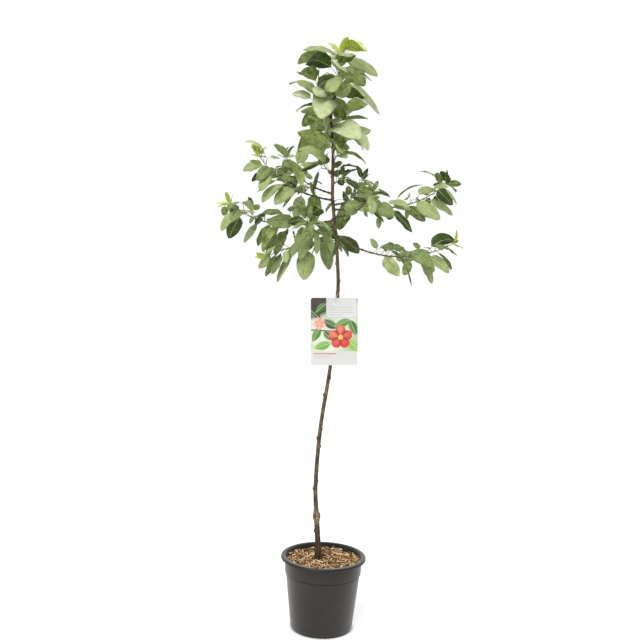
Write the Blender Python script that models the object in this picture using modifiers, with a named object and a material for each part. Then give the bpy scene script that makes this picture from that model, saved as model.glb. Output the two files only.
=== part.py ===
"""A dwarf apple tree in a dark plastic nursery pot, with a picture card hung on its trunk.

Metres, +Z up. The origin is the centre of the pot's flat underside. -Y is the tree's front,
and a heading is turned in degrees from +X towards +Y.
"""

import math
import random
from dataclasses import dataclass

import bmesh
import bpy
import numpy as np
from mathutils import Matrix, Vector

UP = Vector((0, 0, 1))
CLEAR = 0.0003

# Pot: a tapered bucket with a turned-down lip, a wider band under it and a rounded foot.
POT_HEIGHT = 0.192
RIM_RADIUS = 0.110
LIP_DEPTH = 0.007
LIP_WALL = 0.002
LIP_ROUND = 0.0035
BAND_TOP_RADIUS = 0.1000
BAND_FOOT_RADIUS = 0.0985
BAND_FOOT = 0.148
BAND_SHELF = 0.002
BODY_TOP_RADIUS = 0.0960
BODY_FOOT_RADIUS = 0.0812
FOOT_ROUND = 0.014
FOOT_RADIUS = 0.0740
POT_WALL = 0.0020
POT_FLOOR = 0.0030
POT_SIDES = 36
DRAINS = 8
DRAIN_RADIUS = 0.0045
DRAIN_RING = 0.060
SLOT_WIDTH = 0.016
SLOT_RIB = 0.005
SLOT_HEIGHT = 0.0026
SLOT_START = 0.054

# Filling: potting mix up to a finger below the rim, then a layer of chips.
MIX_TOP = 0.171
MULCH_TOP = 0.1805
MULCH_BUMP = 0.0014
MULCH_RINGS = 5
MULCH_SIDES = 24
MULCH_HOLE = 0.0125

# Trunk: (height, x, y) along its heart, and (height, radius) along its bark.
TRUNK_FOOT = MIX_TOP + CLEAR
TRUNK_TOP = 1.375
TRUNK_WAY = (
    (0.171, -0.0140, 0.014),
    (0.200, -0.0140, 0.014),
    (0.290, -0.0215, 0.015),
    (0.370, -0.0265, 0.014),
    (0.520, -0.0195, 0.010),
    (0.670, -0.0010, 0.006),
    (0.800, 0.0105, 0.003),
    (0.900, 0.0130, 0.003),
    (1.010, 0.0040, 0.004),
    (1.110, -0.0080, 0.006),
    (1.240, -0.0120, 0.006),
    (1.322, -0.0190, 0.006),
    (1.375, -0.0090, 0.005),
)
TRUNK_GIRTH = (
    (0.171, 0.0108),
    (0.186, 0.0082),
    (0.220, 0.0064),
    (0.276, 0.0060),
    (0.286, 0.0082),
    (0.294, 0.0084),
    (0.306, 0.0064),
    (0.340, 0.0056),
    (0.600, 0.0050),
    (0.900, 0.0043),
    (1.200, 0.0038),
    (1.375, 0.0029),
)
TRUNK_SPANS = 42

# Boughs: the woody share of each shoot is the bough, and the rest is its mass of foliage.
WOOD_SHARE = 0.30
BOUGH_RADIUS = 0.0024
STEM_RADIUS = 0.00168
SHOOT_TIP_RADIUS = 0.0009
BOUGH_STEP = 0.011
STEM_STEP = 0.014

# Leaves
GOLDEN_TURN = 137.5
OUTLINE_BASE = 0.55
OUTLINE_TIP = 0.78
RIB_THICKNESS = 0.020
PETIOLE_RADIUS = 0.0009
PETIOLE_SINK = 0.0012
TWIG_RADIUS = 0.0012
BLADE_RINGS = (0.33, 0.72)
TRIES = 8
TUFT_LEAVES = 3
SIDE_TWIG_EVERY = 4

# The gaps that leaves keep: to other masses, to their own mass and to limbs.
LEAF_GAP = 0.0105
OWN_GAP = 0.0065
LIMB_GAP = 0.006
STEM_GAP = 0.0036
TAKEN_STEP = 0.005
TIP_FREE = 0.93
MARKS_ALONG = (0.06, 0.2, 0.34, 0.48, 0.62, 0.76, 0.88, 0.97)
MARKS_ACROSS = (-0.85, -0.45, 0, 0.45, 0.85)
CROWN_LOW = Vector((-0.302, -0.250, 0.884))
CROWN_HIGH = Vector((0.312, 0.255, 1.507))

# Trunk spurs: short shoots up the bare trunk, each a turn of the golden angle past the last.
SPUR_SEEDS = (683, 822, 708, 991, 798, 661, 151, 199)
SPUR_LOW = 1.150
SPUR_HIGH = 1.345
SPUR_HEADING = 20
SPUR_LENGTH = 0.022
SPUR_LEAVES = 2
SPUR_LEAF = (0.066, 0.118)
SPUR_PITCHES = (24, 40, 50)
SPUR_GROWTH = 1.6

# Picture card and its loop
CARD_WIDTH = 0.119
CARD_HEIGHT = 0.172
CARD_THICKNESS = 0.0010
CARD_CORNER = 0.006
CARD_CENTRE = (0.0075, 0.776)
CARD_LEAN = -1.8
CARD_BACK = -0.0022
CARD_HOLE_UP = 0.0710
CARD_HOLE_RADIUS = 0.0024
CORNER_STEPS = 4
HOLE_SIDES = 16
LOOP_RADIUS = 0.0006
LOOP_HEIGHT = 0.878
LOOP_WRAP = (-50, 170)
LOOP_WRAP_STEPS = 8
LOOP_WRAP_RISE = 0.0035

# The loop's two strands below its wrap: (aside, above the hole), in front of and behind the card.
FRONT_STRAND = ((0.0003, 0.0025), (0.0020, 0.010), (0.0055, 0.020))
BACK_STRAND = ((-0.0004, -0.0022, 0.020), (-0.0008, -0.0028, 0.010))


@dataclass
class Shoot:
    """A leafy shoot: where it leaves the trunk, how it runs and the leaves that it carries."""

    name: str
    height: float
    heading: float
    turn: float
    pitches: tuple
    length: float
    leaves: int
    leaf_length: float
    seed: int


# The shoots of the lower crown. The pitches are those at the foot, the middle and the tip.
BOUGHS = (
    Shoot("left_upper", 1.108, 178, 10, (6, 24, 56), 0.210, 9, 0.078, 532),
    Shoot("left_middle", 1.056, 184, -12, (-12, -6, 40), 0.268, 12, 0.076, 99),
    Shoot("left_lower", 1.014, 196, -8, (-24, 4, -30), 0.165, 9, 0.078, 860),
    Shoot("right_upper", 1.084, 2, 10, (3, -4, 46), 0.296, 11, 0.076, 49),
    Shoot("right_lower", 1.016, -4, 8, (-34, 0, 28), 0.300, 12, 0.078, 645),
    Shoot("front_left", 1.036, 243, 16, (-16, 4, 26), 0.205, 8, 0.072, 196),
    Shoot("front_right", 1.066, 303, -14, (2, 8, 40), 0.195, 8, 0.068, 137),
    Shoot("back_left", 1.124, 124, 8, (10, 14, 52), 0.225, 9, 0.074, 848),
    Shoot("back_right", 1.096, 62, 12, (6, 8, 46), 0.215, 9, 0.074, 135),
    Shoot("back_lower", 1.028, 98, -10, (-22, 0, 22), 0.200, 8, 0.074, 676),
)
LEADER = Shoot("leader", TRUNK_TOP, 10, 0, (80, 84, 88), 0.092, 12, 0.118, 754)
SIDE_SHOOT = Shoot("side_shoot", 1.314, 184, 0, (38, 100, 90), 0.128, 8, 0.104, 660)


@dataclass
class Leaf:
    """One leaf: its stalk from foot to neck, and its blade's direction, face and measures."""

    foot: Vector
    neck: Vector
    along: Vector
    face: Vector
    length: float
    width: float
    bend: float
    fold: float


class Space:
    """The points that limbs and leaves have taken, and the gap that others keep to each."""

    def __init__(self):
        self.points = np.empty((0, 3))
        self.gaps = np.empty(0)
        self.owners = np.empty(0, dtype=object)

    def take(self, points, gap, owner):
        """Adds points that belong to an owner."""
        self.points = np.vstack([self.points, np.array(points)])
        self.gaps = np.append(self.gaps, [gap] * len(points))
        self.owners = np.append(self.owners, [owner] * len(points))

    def is_free(self, points, owner):
        """Whether the points keep their gap to all that is taken, closer to their own mass."""
        marks = np.array(points)
        if (marks < np.array(CROWN_LOW)).any() or (marks > np.array(CROWN_HIGH)).any():
            return False
        low, high = marks.min(axis=0) - LEAF_GAP, marks.max(axis=0) + LEAF_GAP
        near = ((self.points > low) & (self.points < high)).all(axis=1)
        own = self.owners[near] == owner
        gaps = np.where(own, np.minimum(self.gaps[near], OWN_GAP), self.gaps[near])
        apart = self.points[near][None, :, :] - marks[:, None, :]
        return not ((apart**2).sum(axis=2) < gaps[None, :] ** 2).any()


def clear_scene():
    """Removes what the file holds."""
    for obj in list(bpy.data.objects):
        bpy.data.objects.remove(obj)


def collection(name):
    """A new collection in the scene."""
    made = bpy.data.collections.new(name)
    bpy.context.scene.collection.children.link(made)
    return made


def material(name, colour, roughness):
    """A plain finish of an sRGB colour, each channel from 0 to 255."""
    made = bpy.data.materials.new(name)
    made.use_nodes = True
    shader = made.node_tree.nodes["Principled BSDF"]
    linear = [(c / 255) ** 2.2 for c in colour]
    shader.inputs["Base Color"].default_value = (*linear, 1)
    shader.inputs["Roughness"].default_value = roughness
    return made


def add_object(name, mesh, finish, group):
    """An object of a mesh, in a collection, with one finish."""
    obj = bpy.data.objects.new(name, mesh)
    group.objects.link(obj)
    mesh.materials.clear()
    mesh.materials.append(finish)
    return obj


def evaluated_mesh(obj):
    """The object's mesh with its modifiers applied."""
    bpy.context.view_layer.update()
    graph = bpy.context.evaluated_depsgraph_get()
    return bpy.data.meshes.new_from_object(obj.evaluated_get(graph))


def apply_modifiers(obj):
    """Replaces the object's mesh by what its modifiers make of it."""
    mesh = evaluated_mesh(obj)
    finish = obj.data.materials[0]
    obj.modifiers.clear()
    obj.data = mesh
    mesh.materials.clear()
    mesh.materials.append(finish)


def mesh_of(shape, name):
    """A mesh made from a bmesh, which is then freed."""
    mesh = bpy.data.meshes.new(name)
    shape.to_mesh(mesh)
    shape.free()
    return mesh


def between(table, at):
    """The values of a table of rows, each (place, value, ...), smoothly joined, at a place."""
    places = [row[0] for row in table]
    i = max(0, min(len(table) - 2, sum(place <= at for place in places) - 1))
    t = max(0.0, min(1.0, (at - places[i]) / (places[i + 1] - places[i])))
    near = [table[max(0, min(len(table) - 1, i + k))] for k in (-1, 0, 1, 2)]
    found = []
    for column in range(1, len(table[0])):
        a, b, c, d = (row[column] for row in near)
        rise = (c - a) / (near[2][0] - near[0][0]) * (places[i + 1] - places[i])
        fall = (d - b) / (near[3][0] - near[1][0]) * (places[i + 1] - places[i])
        found.append(
            b
            + rise * t
            + (3 * (c - b) - 2 * rise - fall) * t**2
            + (2 * (b - c) + rise + fall) * t**3
        )
    return found


def straight_between(table, at):
    """The value of a table of (place, value) rows, joined by straight lines, at a place."""
    return float(np.interp(at, [row[0] for row in table], [row[1] for row in table]))


def trunk_point(height):
    """The trunk's heart at a height."""
    x, y = between(TRUNK_WAY, height)
    return Vector((x, y, height))


def trunk_radius(height):
    """The trunk's radius at a height."""
    return straight_between(TRUNK_GIRTH, height)


def bearing(heading, pitch):
    """The unit vector of a heading and a pitch, in degrees."""
    yaw, rise = math.radians(heading), math.radians(pitch)
    return Vector((math.cos(rise) * math.cos(yaw), math.cos(rise) * math.sin(yaw), math.sin(rise)))


def shoot_start(shoot):
    """Where a shoot's foot stands, clear of the trunk's bark."""
    if shoot.height >= TRUNK_TOP:
        return trunk_point(TRUNK_TOP) + UP * CLEAR
    tilt = abs(math.sin(math.radians(shoot.pitches[0])))
    reach = trunk_radius(shoot.height) + CLEAR + BOUGH_RADIUS * tilt
    return trunk_point(shoot.height) + bearing(shoot.heading, 0) * reach


def run(start, shoot, low, high, step):
    """Points of a shoot's path from one share of its length to another."""
    fine = max(12, round(shoot.length / 0.002))
    points, place = [start.copy()], start.copy()
    for i in range(fine):
        t = (i + 0.5) / fine
        first, middle, last = shoot.pitches
        pitch = (1 - t) ** 2 * first + 2 * t * (1 - t) * middle + t**2 * last
        place = place + bearing(shoot.heading + shoot.turn * t, pitch) * (shoot.length / fine)
        points.append(place)
    count = max(2, round((high - low) * shoot.length / step))
    shares = [low + (high - low) * i / count for i in range(count + 1)]
    return [point_along(points, share) for share in shares]


def point_along(points, share):
    """The point at a share of the way along evenly spaced points."""
    at = share * (len(points) - 1)
    i = min(int(at), len(points) - 2)
    return points[i].lerp(points[i + 1], at - i)


def direction_along(points, share):
    """The unit direction at a share of the way along evenly spaced points."""
    i = min(int(share * (len(points) - 1)), len(points) - 2)
    return (points[i + 1] - points[i]).normalized()


def tapers(first, last, count):
    """Radii from one to another."""
    return [first + (last - first) * i / (count - 1) for i in range(count)]


def limb(name, points, radii, rounding, finish, group):
    """A tapering limb: a bevelled curve through points, made a mesh with its caps welded."""
    curve = bpy.data.curves.new(name, "CURVE")
    curve.dimensions = "3D"
    curve.bevel_depth = 1.0
    curve.bevel_resolution = rounding
    curve.use_fill_caps = True
    curve.twist_mode = "MINIMUM"
    spline = curve.splines.new("POLY")
    spline.points.add(len(points) - 1)
    for place, point, radius in zip(spline.points, points, radii):
        place.co = (*point, 1)
        place.radius = radius
    guide = bpy.data.objects.new(name + "_guide", curve)
    group.objects.link(guide)
    shape = bmesh.new()
    shape.from_mesh(evaluated_mesh(guide))
    bpy.data.objects.remove(guide)
    bmesh.ops.remove_doubles(shape, verts=shape.verts, dist=1e-6)
    bmesh.ops.recalc_face_normals(shape, faces=shape.faces)
    mesh = mesh_of(shape, name)
    if rounding:
        mesh.shade_smooth()
    return add_object(name, mesh, finish, group)


def outline(share):
    """Half the leaf's width at a share of its length, as a share of the widest."""
    widest = OUTLINE_BASE / (OUTLINE_BASE + OUTLINE_TIP)
    peak = widest**OUTLINE_BASE * (1 - widest) ** OUTLINE_TIP
    return share**OUTLINE_BASE * (1 - share) ** OUTLINE_TIP / peak


def blade_point(leaf, share, across, above=0.0):
    """A point of the blade: share from neck to tip, across from margin to margin, -1 to 1."""
    turned = leaf.bend * share
    half = leaf.width / 2 * outline(share) * across
    rise = abs(half) * math.sin(leaf.fold) + above
    forward = leaf.length * math.sin(turned) / leaf.bend + rise * math.sin(turned)
    height = -leaf.length * (1 - math.cos(turned)) / leaf.bend + rise * math.cos(turned)
    side = leaf.face.cross(leaf.along)
    return (
        leaf.neck
        + leaf.along * forward
        + leaf.face * height
        + side * (half * math.cos(leaf.fold))
    )


def around(stem, azimuth):
    """The unit vector that stands off a stem at an angle round it, 0 being the stem's side."""
    reference = UP if abs(stem.z) < 0.8 else Vector((1, 0, 0))
    first = stem.cross(reference).normalized()
    turn = math.radians(azimuth)
    return first * math.cos(turn) + first.cross(stem) * math.sin(turn)


def propose(rng, foot, stem, azimuth, length, stalk, droop):
    """A leaf on a stem, whose blade turns its face up and hangs from its stalk."""
    radial = around(stem, azimuth)
    spread = math.radians(rng.uniform(38, 64))
    out = stem * math.cos(spread) + radial * math.sin(spread) + UP * rng.uniform(0.0, 0.3)
    out.normalize()
    neck = foot + out * stalk
    aside = Vector((rng.uniform(-1, 1), rng.uniform(-1, 1), 0)) * 0.3
    along = (out + aside - UP * rng.uniform(0.1, 0.8) * droop).normalized()
    face = UP + radial * 0.5 + aside
    face = (face - along * face.dot(along)).normalized()
    face = Matrix.Rotation(math.radians(rng.gauss(0, 32)), 3, along) @ face
    fall = math.asin(max(-1.0, min(1.0, along.z))) + math.pi / 2
    bend = max(0.15, rng.uniform(0.35, 0.75) * fall * droop)
    width = length * rng.uniform(0.54, 0.66)
    fold = math.radians(rng.uniform(8, 30))
    return Leaf(foot, neck, along, face, length, width, bend, fold)


def leaf_marks(leaf):
    """Points over a leaf, for the gaps that leaves keep."""
    marks = [blade_point(leaf, share, across) for share in MARKS_ALONG for across in MARKS_ACROSS]
    return marks + [leaf.foot.lerp(leaf.neck, 0.7)]


def try_leaf(rng, space, owner, foot, stem, azimuth, length, stalk, droop=1.0):
    """A leaf that keeps its gaps, or None where there is no room for one."""
    for attempt in range(TRIES):
        leaf = propose(rng, foot, stem, azimuth + attempt * 23, length, stalk, droop)
        marks = leaf_marks(leaf)
        if space.is_free(marks, owner):
            space.take(marks, LEAF_GAP, owner)
            return leaf
    return None


def grow(owner, points, shoot, space):
    """The leaves and side twigs of a stem: one leaf a node, and here and there a twig of two."""
    rng = random.Random(shoot.seed)
    phase = rng.uniform(0, 360)
    leaves, twigs = [], []
    for node in range(shoot.leaves):
        share = (node + 0.35) / shoot.leaves
        foot = point_along(points, share)
        stem = direction_along(points, share)
        azimuth = phase + node * GOLDEN_TURN
        length = shoot.leaf_length * (1.06 - 0.28 * share) * rng.uniform(0.82, 1.12)
        stalk = length * rng.uniform(0.22, 0.34)
        leaves.append(try_leaf(rng, space, owner, foot, stem, azimuth, length, stalk))
        if node % SIDE_TWIG_EVERY == 1:
            twig, few = side_twig(rng, space, owner, foot, stem, azimuth + 180, length)
            twigs += twig
            leaves += few
    tip, stem = points[-1], direction_along(points, 1.0)
    for i in range(TUFT_LEAVES):
        length = shoot.leaf_length * rng.uniform(0.3, 0.75)
        azimuth = phase + i * 120
        droop = rng.uniform(0.3, 1.0)
        leaves.append(try_leaf(rng, space, owner, tip, stem, azimuth, length, length * 0.15, droop))
    return [leaf for leaf in leaves if leaf], twigs


def side_twig(rng, space, owner, foot, stem, azimuth, length):
    """A short twig with two leaves at its tip, as (twigs, leaves), both empty with no room."""
    out = (stem * 0.7 + around(stem, azimuth) + UP * 0.35).normalized()
    tip = foot + out * (length * rng.uniform(0.22, 0.36))
    if not space.is_free([foot.lerp(tip, 0.8), tip], owner):
        return [], []
    leaves = []
    for side in (0, 150):
        size = length * rng.uniform(0.55, 0.85)
        leaf = try_leaf(rng, space, owner, tip, out, azimuth + side, size, size * 0.3)
        if leaf:
            leaves.append(leaf)
    if not leaves:
        return [], []
    space.take([tip], OWN_GAP, owner)
    return [(foot, tip)], leaves


def leaf_solid(leaf, finish, group):
    """A leaf: a four-sided sphere, its rings drawn out to a stalk, the margins and the rib."""
    shape = bmesh.new()
    rings = 3 + len(BLADE_RINGS)
    bmesh.ops.create_uvsphere(shape, u_segments=4, v_segments=rings, radius=1)
    stalk = (leaf.neck - leaf.foot).normalized()
    side = leaf.face.cross(leaf.along)
    for vert in shape.verts:
        level = round(rings * (1 - math.acos(max(-1.0, min(1.0, vert.co.z))) / math.pi))
        ring = math.hypot(vert.co.x, vert.co.y)
        across = round(vert.co.x / ring) if ring > 0.01 else 0
        above = round(vert.co.y / ring) if ring > 0.01 else 0
        if level == 0:
            vert.co = leaf.foot - stalk * PETIOLE_SINK
        elif level <= 2:
            centre = leaf.foot if level == 1 else leaf.neck
            vert.co = centre + (side * across + leaf.face * above) * PETIOLE_RADIUS
        elif level == rings:
            vert.co = blade_point(leaf, 1, 0)
        else:
            half_thickness = RIB_THICKNESS * leaf.length / 2
            vert.co = blade_point(leaf, BLADE_RINGS[level - 3], across, above * half_thickness)
    bmesh.ops.recalc_face_normals(shape, faces=shape.faces)
    return add_object("leaf", mesh_of(shape, "leaf"), finish, group)


def twig_solid(foot, tip, finish, group):
    """A short three-sided twig, its foot sunk in its stem."""
    way = tip - foot
    turn = way.to_track_quat("Z", "Y").to_matrix().to_4x4()
    shape = bmesh.new()
    bmesh.ops.create_cone(
        shape,
        cap_ends=True,
        segments=3,
        radius1=TWIG_RADIUS,
        radius2=TWIG_RADIUS,
        depth=way.length,
        matrix=Matrix.Translation((foot + tip) / 2) @ turn,
    )
    return add_object("twig", mesh_of(shape, "twig"), finish, group)


def keep_largest(obj):
    """Drops every loose scrap but the largest body of an object's mesh."""
    shape = bmesh.new()
    shape.from_mesh(obj.data)
    left, bodies = set(shape.verts), []
    while left:
        edge, body = [left.pop()], []
        while edge:
            vert = edge.pop()
            body.append(vert)
            near = {e.other_vert(vert) for e in vert.link_edges} & left
            left -= near
            edge += near
        bodies.append(body)
    bodies.sort(key=len)
    for body in bodies[:-1]:
        bmesh.ops.delete(shape, geom=body, context="VERTS")
    shape.to_mesh(obj.data)
    shape.free()


def fuse(base, others):
    """Joins a collection of objects to a base by one Boolean union, and removes them."""
    union = base.modifiers.new("fuse", "BOOLEAN")
    union.operation = "UNION"
    union.operand_type = "COLLECTION"
    union.collection = others
    union.solver = "EXACT"
    apply_modifiers(base)
    for obj in list(others.objects):
        bpy.data.objects.remove(obj)
    bpy.data.collections.remove(others)
    keep_largest(base)


def foliage(name, points, first_radius, leaves, twigs, finish, group):
    """A mass: one stem with its twigs, leaf stalks and blades fused on."""
    radii = tapers(first_radius, SHOOT_TIP_RADIUS, len(points))
    stem = limb(name, points, radii, 0, finish, group)
    joining = collection(name + "_joining")
    for foot, tip in twigs:
        twig_solid(foot, tip, finish, joining)
    for leaf in leaves:
        leaf_solid(leaf, finish, joining)
    fuse(stem, joining)
    return stem


def pot_profile():
    """(radius, height) round the pot's wall: down its outer side, then up its inner side."""
    lip = []
    for step in range(4):
        angle = math.radians(90 - 30 * step)
        radius = RIM_RADIUS - LIP_ROUND + LIP_ROUND * math.cos(angle)
        lip.append((radius, POT_HEIGHT - LIP_ROUND + LIP_ROUND * math.sin(angle)))
    skirt = RIM_RADIUS - LIP_WALL
    under_lip = POT_HEIGHT - LIP_WALL
    outer = [
        (skirt + LIP_WALL, POT_HEIGHT - LIP_DEPTH),
        (skirt, POT_HEIGHT - LIP_DEPTH),
        (skirt, under_lip - LIP_ROUND * 0.3),
        (BAND_TOP_RADIUS, under_lip),
        (BAND_FOOT_RADIUS, BAND_FOOT),
        (BODY_TOP_RADIUS, BAND_FOOT - BAND_SHELF * 0.75),
        (BODY_FOOT_RADIUS, FOOT_ROUND),
    ]
    foot = []
    for step in range(1, 5):
        angle = math.radians(22.5 * step)
        radius = FOOT_RADIUS + (BODY_FOOT_RADIUS - FOOT_RADIUS) * math.cos(angle)
        foot.append((radius, FOOT_ROUND * (1 - math.sin(angle))))
    inner = [
        (0, 0),
        (0, POT_FLOOR),
        (FOOT_RADIUS - POT_WALL, POT_FLOOR),
        (BODY_FOOT_RADIUS - POT_WALL, FOOT_ROUND),
        (BODY_TOP_RADIUS - POT_WALL, BAND_FOOT),
        (BAND_FOOT_RADIUS - POT_WALL, BAND_FOOT + BAND_SHELF),
        (BAND_TOP_RADIUS - POT_WALL, POT_HEIGHT - 0.001),
        (BAND_TOP_RADIUS - POT_WALL + 0.001, POT_HEIGHT),
    ]
    return lip + outer + foot + inner


def turned(name, profile, sides, finish, group):
    """A solid turned about the Z axis from a closed profile."""
    shape = bmesh.new()
    verts = [shape.verts.new((radius, 0, height)) for radius, height in profile]
    for i, vert in enumerate(verts):
        after = verts[(i + 1) % len(verts)]
        if vert.co.x or after.co.x:
            shape.edges.new((vert, after))
    obj = add_object(name, mesh_of(shape, name), finish, group)
    screw = obj.modifiers.new("turn", "SCREW")
    screw.axis = "Z"
    screw.steps = sides
    screw.render_steps = sides
    screw.use_merge_vertices = True
    screw.merge_threshold = 0.00001
    apply_modifiers(obj)
    return obj


def box_cutter(place, size, heading, finish, group):
    """A box to cut with, turned about the Z axis."""
    shape = bmesh.new()
    bmesh.ops.create_cube(shape, size=1, matrix=Matrix.Diagonal((*size, 1)))
    turn = Matrix.Rotation(math.radians(heading), 4, "Z")
    bmesh.ops.transform(shape, matrix=turn @ Matrix.Translation(place), verts=shape.verts)
    return add_object("cutter", mesh_of(shape, "cutter"), finish, group)


def rod_cutter(place, radius, depth, sides, heading, finish, group):
    """An upright rod to cut with, one side of it facing a heading."""
    half_side = math.radians(heading + 180 / sides)
    shape = bmesh.new()
    bmesh.ops.create_cone(
        shape,
        cap_ends=True,
        segments=sides,
        radius1=radius,
        radius2=radius,
        depth=depth,
        matrix=Matrix.Translation(place) @ Matrix.Rotation(half_side, 4, "Z"),
    )
    return add_object("cutter", mesh_of(shape, "cutter"), finish, group)


def cut(obj, cutters, solver="EXACT"):
    """Takes a collection of cutters out of an object, one after another, and removes them."""
    for cutter in list(cutters.objects):
        cutter.hide_render = True
        cutter.display_type = "WIRE"
        difference = obj.modifiers.new("cut", "BOOLEAN")
        difference.operation = "DIFFERENCE"
        difference.object = cutter
        difference.solver = solver
    apply_modifiers(obj)
    for cutter in list(cutters.objects):
        bpy.data.objects.remove(cutter)
    bpy.data.collections.remove(cutters)


def make_pot(finish, group):
    """The pot, with pairs of drainage slots under its foot and a hole above each pair."""
    pot = turned("pot", pot_profile(), POT_SIDES, finish, group)
    cutters = collection("pot_cutters")
    slot_size = (RIM_RADIUS - SLOT_START, SLOT_WIDTH, SLOT_HEIGHT * 2)
    slot_middle = (RIM_RADIUS + SLOT_START) / 2
    aside = (SLOT_WIDTH + SLOT_RIB) / 2
    for drain in range(DRAINS):
        heading = 360 / DRAINS * drain
        for side in (-aside, aside):
            box_cutter((slot_middle, side, 0), slot_size, heading, finish, cutters)
    for drain in range(DRAINS):
        heading = 360 / DRAINS * (drain + 0.5)
        place = bearing(heading, 0) * DRAIN_RING
        rod_cutter(place, DRAIN_RADIUS, POT_FLOOR * 4, 10, heading, finish, cutters)
    cut(pot, cutters, "MANIFOLD")
    pot.data.shade_smooth()
    return pot


def inner_radius(height):
    """The radius of the pot's inner wall at a height."""
    wall = (
        (POT_FLOOR, FOOT_RADIUS - POT_WALL),
        (FOOT_ROUND, BODY_FOOT_RADIUS - POT_WALL),
        (BAND_FOOT, BODY_TOP_RADIUS - POT_WALL),
        (BAND_FOOT + BAND_SHELF, BAND_FOOT_RADIUS - POT_WALL),
        (POT_HEIGHT - 0.001, BAND_TOP_RADIUS - POT_WALL),
    )
    return straight_between(wall, height)


def make_mix(finish, group):
    """The potting mix, which fills the pot from its floor."""
    side = [POT_FLOOR + CLEAR, FOOT_ROUND, BAND_FOOT, BAND_FOOT + BAND_SHELF * 1.3, MIX_TOP]
    gap = CLEAR * 2
    profile = [(0, MIX_TOP)]
    profile += [(inner_radius(height) - gap, height) for height in reversed(side)]
    profile += [(0, POT_FLOOR + CLEAR)]
    return turned("potting_mix", profile, POT_SIDES, finish, group)


def make_mulch(finish, group):
    """The layer of chips on the mix: a bumpy disc with a hole for the trunk."""
    rng = random.Random(5)
    radius = inner_radius(MULCH_TOP) - CLEAR * 3
    profile = [(0, MULCH_TOP)]
    profile += [(radius * ring / MULCH_RINGS, MULCH_TOP) for ring in range(1, MULCH_RINGS + 1)]
    profile += [(inner_radius(MIX_TOP) - CLEAR * 3, MIX_TOP + CLEAR), (0, MIX_TOP + CLEAR)]
    mulch = turned("mulch", profile, MULCH_SIDES, finish, group)
    for vert in mulch.data.vertices:
        if vert.co.z > MULCH_TOP - CLEAR:
            vert.co.z += rng.uniform(-MULCH_BUMP, MULCH_BUMP)
    cutters = collection("mulch_cutters")
    heart = trunk_point(MULCH_TOP)
    rod_cutter(heart, MULCH_HOLE, 0.05, 16, 0, finish, cutters)
    cut(mulch, cutters)
    return mulch


def make_trunk(finish, group):
    """The trunk, from its flat cut on the mix to where the leader's foliage begins."""
    span = (TRUNK_TOP - TRUNK_FOOT) / TRUNK_SPANS
    heights = [TRUNK_FOOT + span * i for i in range(TRUNK_SPANS + 1)]
    heights += [height for height, _ in TRUNK_GIRTH[1:-1]]
    heights.sort()
    points = [trunk_point(height) for height in heights]
    points[0] = Vector((points[1].x, points[1].y, TRUNK_FOOT))
    return limb("trunk", points, [trunk_radius(h) for h in heights], 3, finish, group)


def card_outline():
    """The card's edge: four round corners, anticlockwise."""
    way = []
    for quarter in range(4):
        across = 1 if quarter in (0, 3) else -1
        upward = 1 if quarter in (0, 1) else -1
        for step in range(CORNER_STEPS + 1):
            angle = math.radians(90 * (quarter + step / CORNER_STEPS))
            x = across * (CARD_WIDTH / 2 - CARD_CORNER) + CARD_CORNER * math.cos(angle)
            y = upward * (CARD_HEIGHT / 2 - CARD_CORNER) + CARD_CORNER * math.sin(angle)
            way.append((x, y))
    return way


def card_hole():
    """The edge of the card's hole, clockwise."""
    way = []
    for step in range(HOLE_SIDES):
        angle = -2 * math.pi * step / HOLE_SIDES
        x = CARD_HOLE_RADIUS * math.cos(angle)
        way.append((x, CARD_HOLE_UP + CARD_HOLE_RADIUS * math.sin(angle)))
    return way


def make_card(finish, group):
    """The picture card: a flat plate with round corners and a hole, leaning a little."""
    curve = bpy.data.curves.new("card_outline", "CURVE")
    curve.dimensions = "2D"
    curve.fill_mode = "BOTH"
    curve.extrude = CARD_THICKNESS / 2
    rim = curve.splines.new("POLY")
    inside = curve.splines.new("POLY")
    for spline, way in ((rim, card_outline()), (inside, card_hole())):
        spline.points.add(len(way) - 1)
        spline.use_cyclic_u = True
        for place, (x, y) in zip(spline.points, way):
            place.co = (x, y, 0, 1)
    guide = bpy.data.objects.new("card_guide", curve)
    group.objects.link(guide)
    shape = bmesh.new()
    shape.from_mesh(evaluated_mesh(guide))
    bpy.data.objects.remove(guide)
    bmesh.ops.remove_doubles(shape, verts=shape.verts, dist=1e-6)
    bmesh.ops.transform(shape, matrix=card_place(), verts=shape.verts)
    return add_object("label_card", mesh_of(shape, "label_card"), finish, group)


def card_place():
    """Stands the flat card up, leans it and hangs it in front of the trunk."""
    middle = Vector((CARD_CENTRE[0], CARD_BACK - CARD_THICKNESS / 2, CARD_CENTRE[1]))
    lean = Matrix.Rotation(math.radians(CARD_LEAN), 4, "Y")
    return Matrix.Translation(middle) @ lean @ Matrix.Rotation(math.radians(90), 4, "X")


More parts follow.
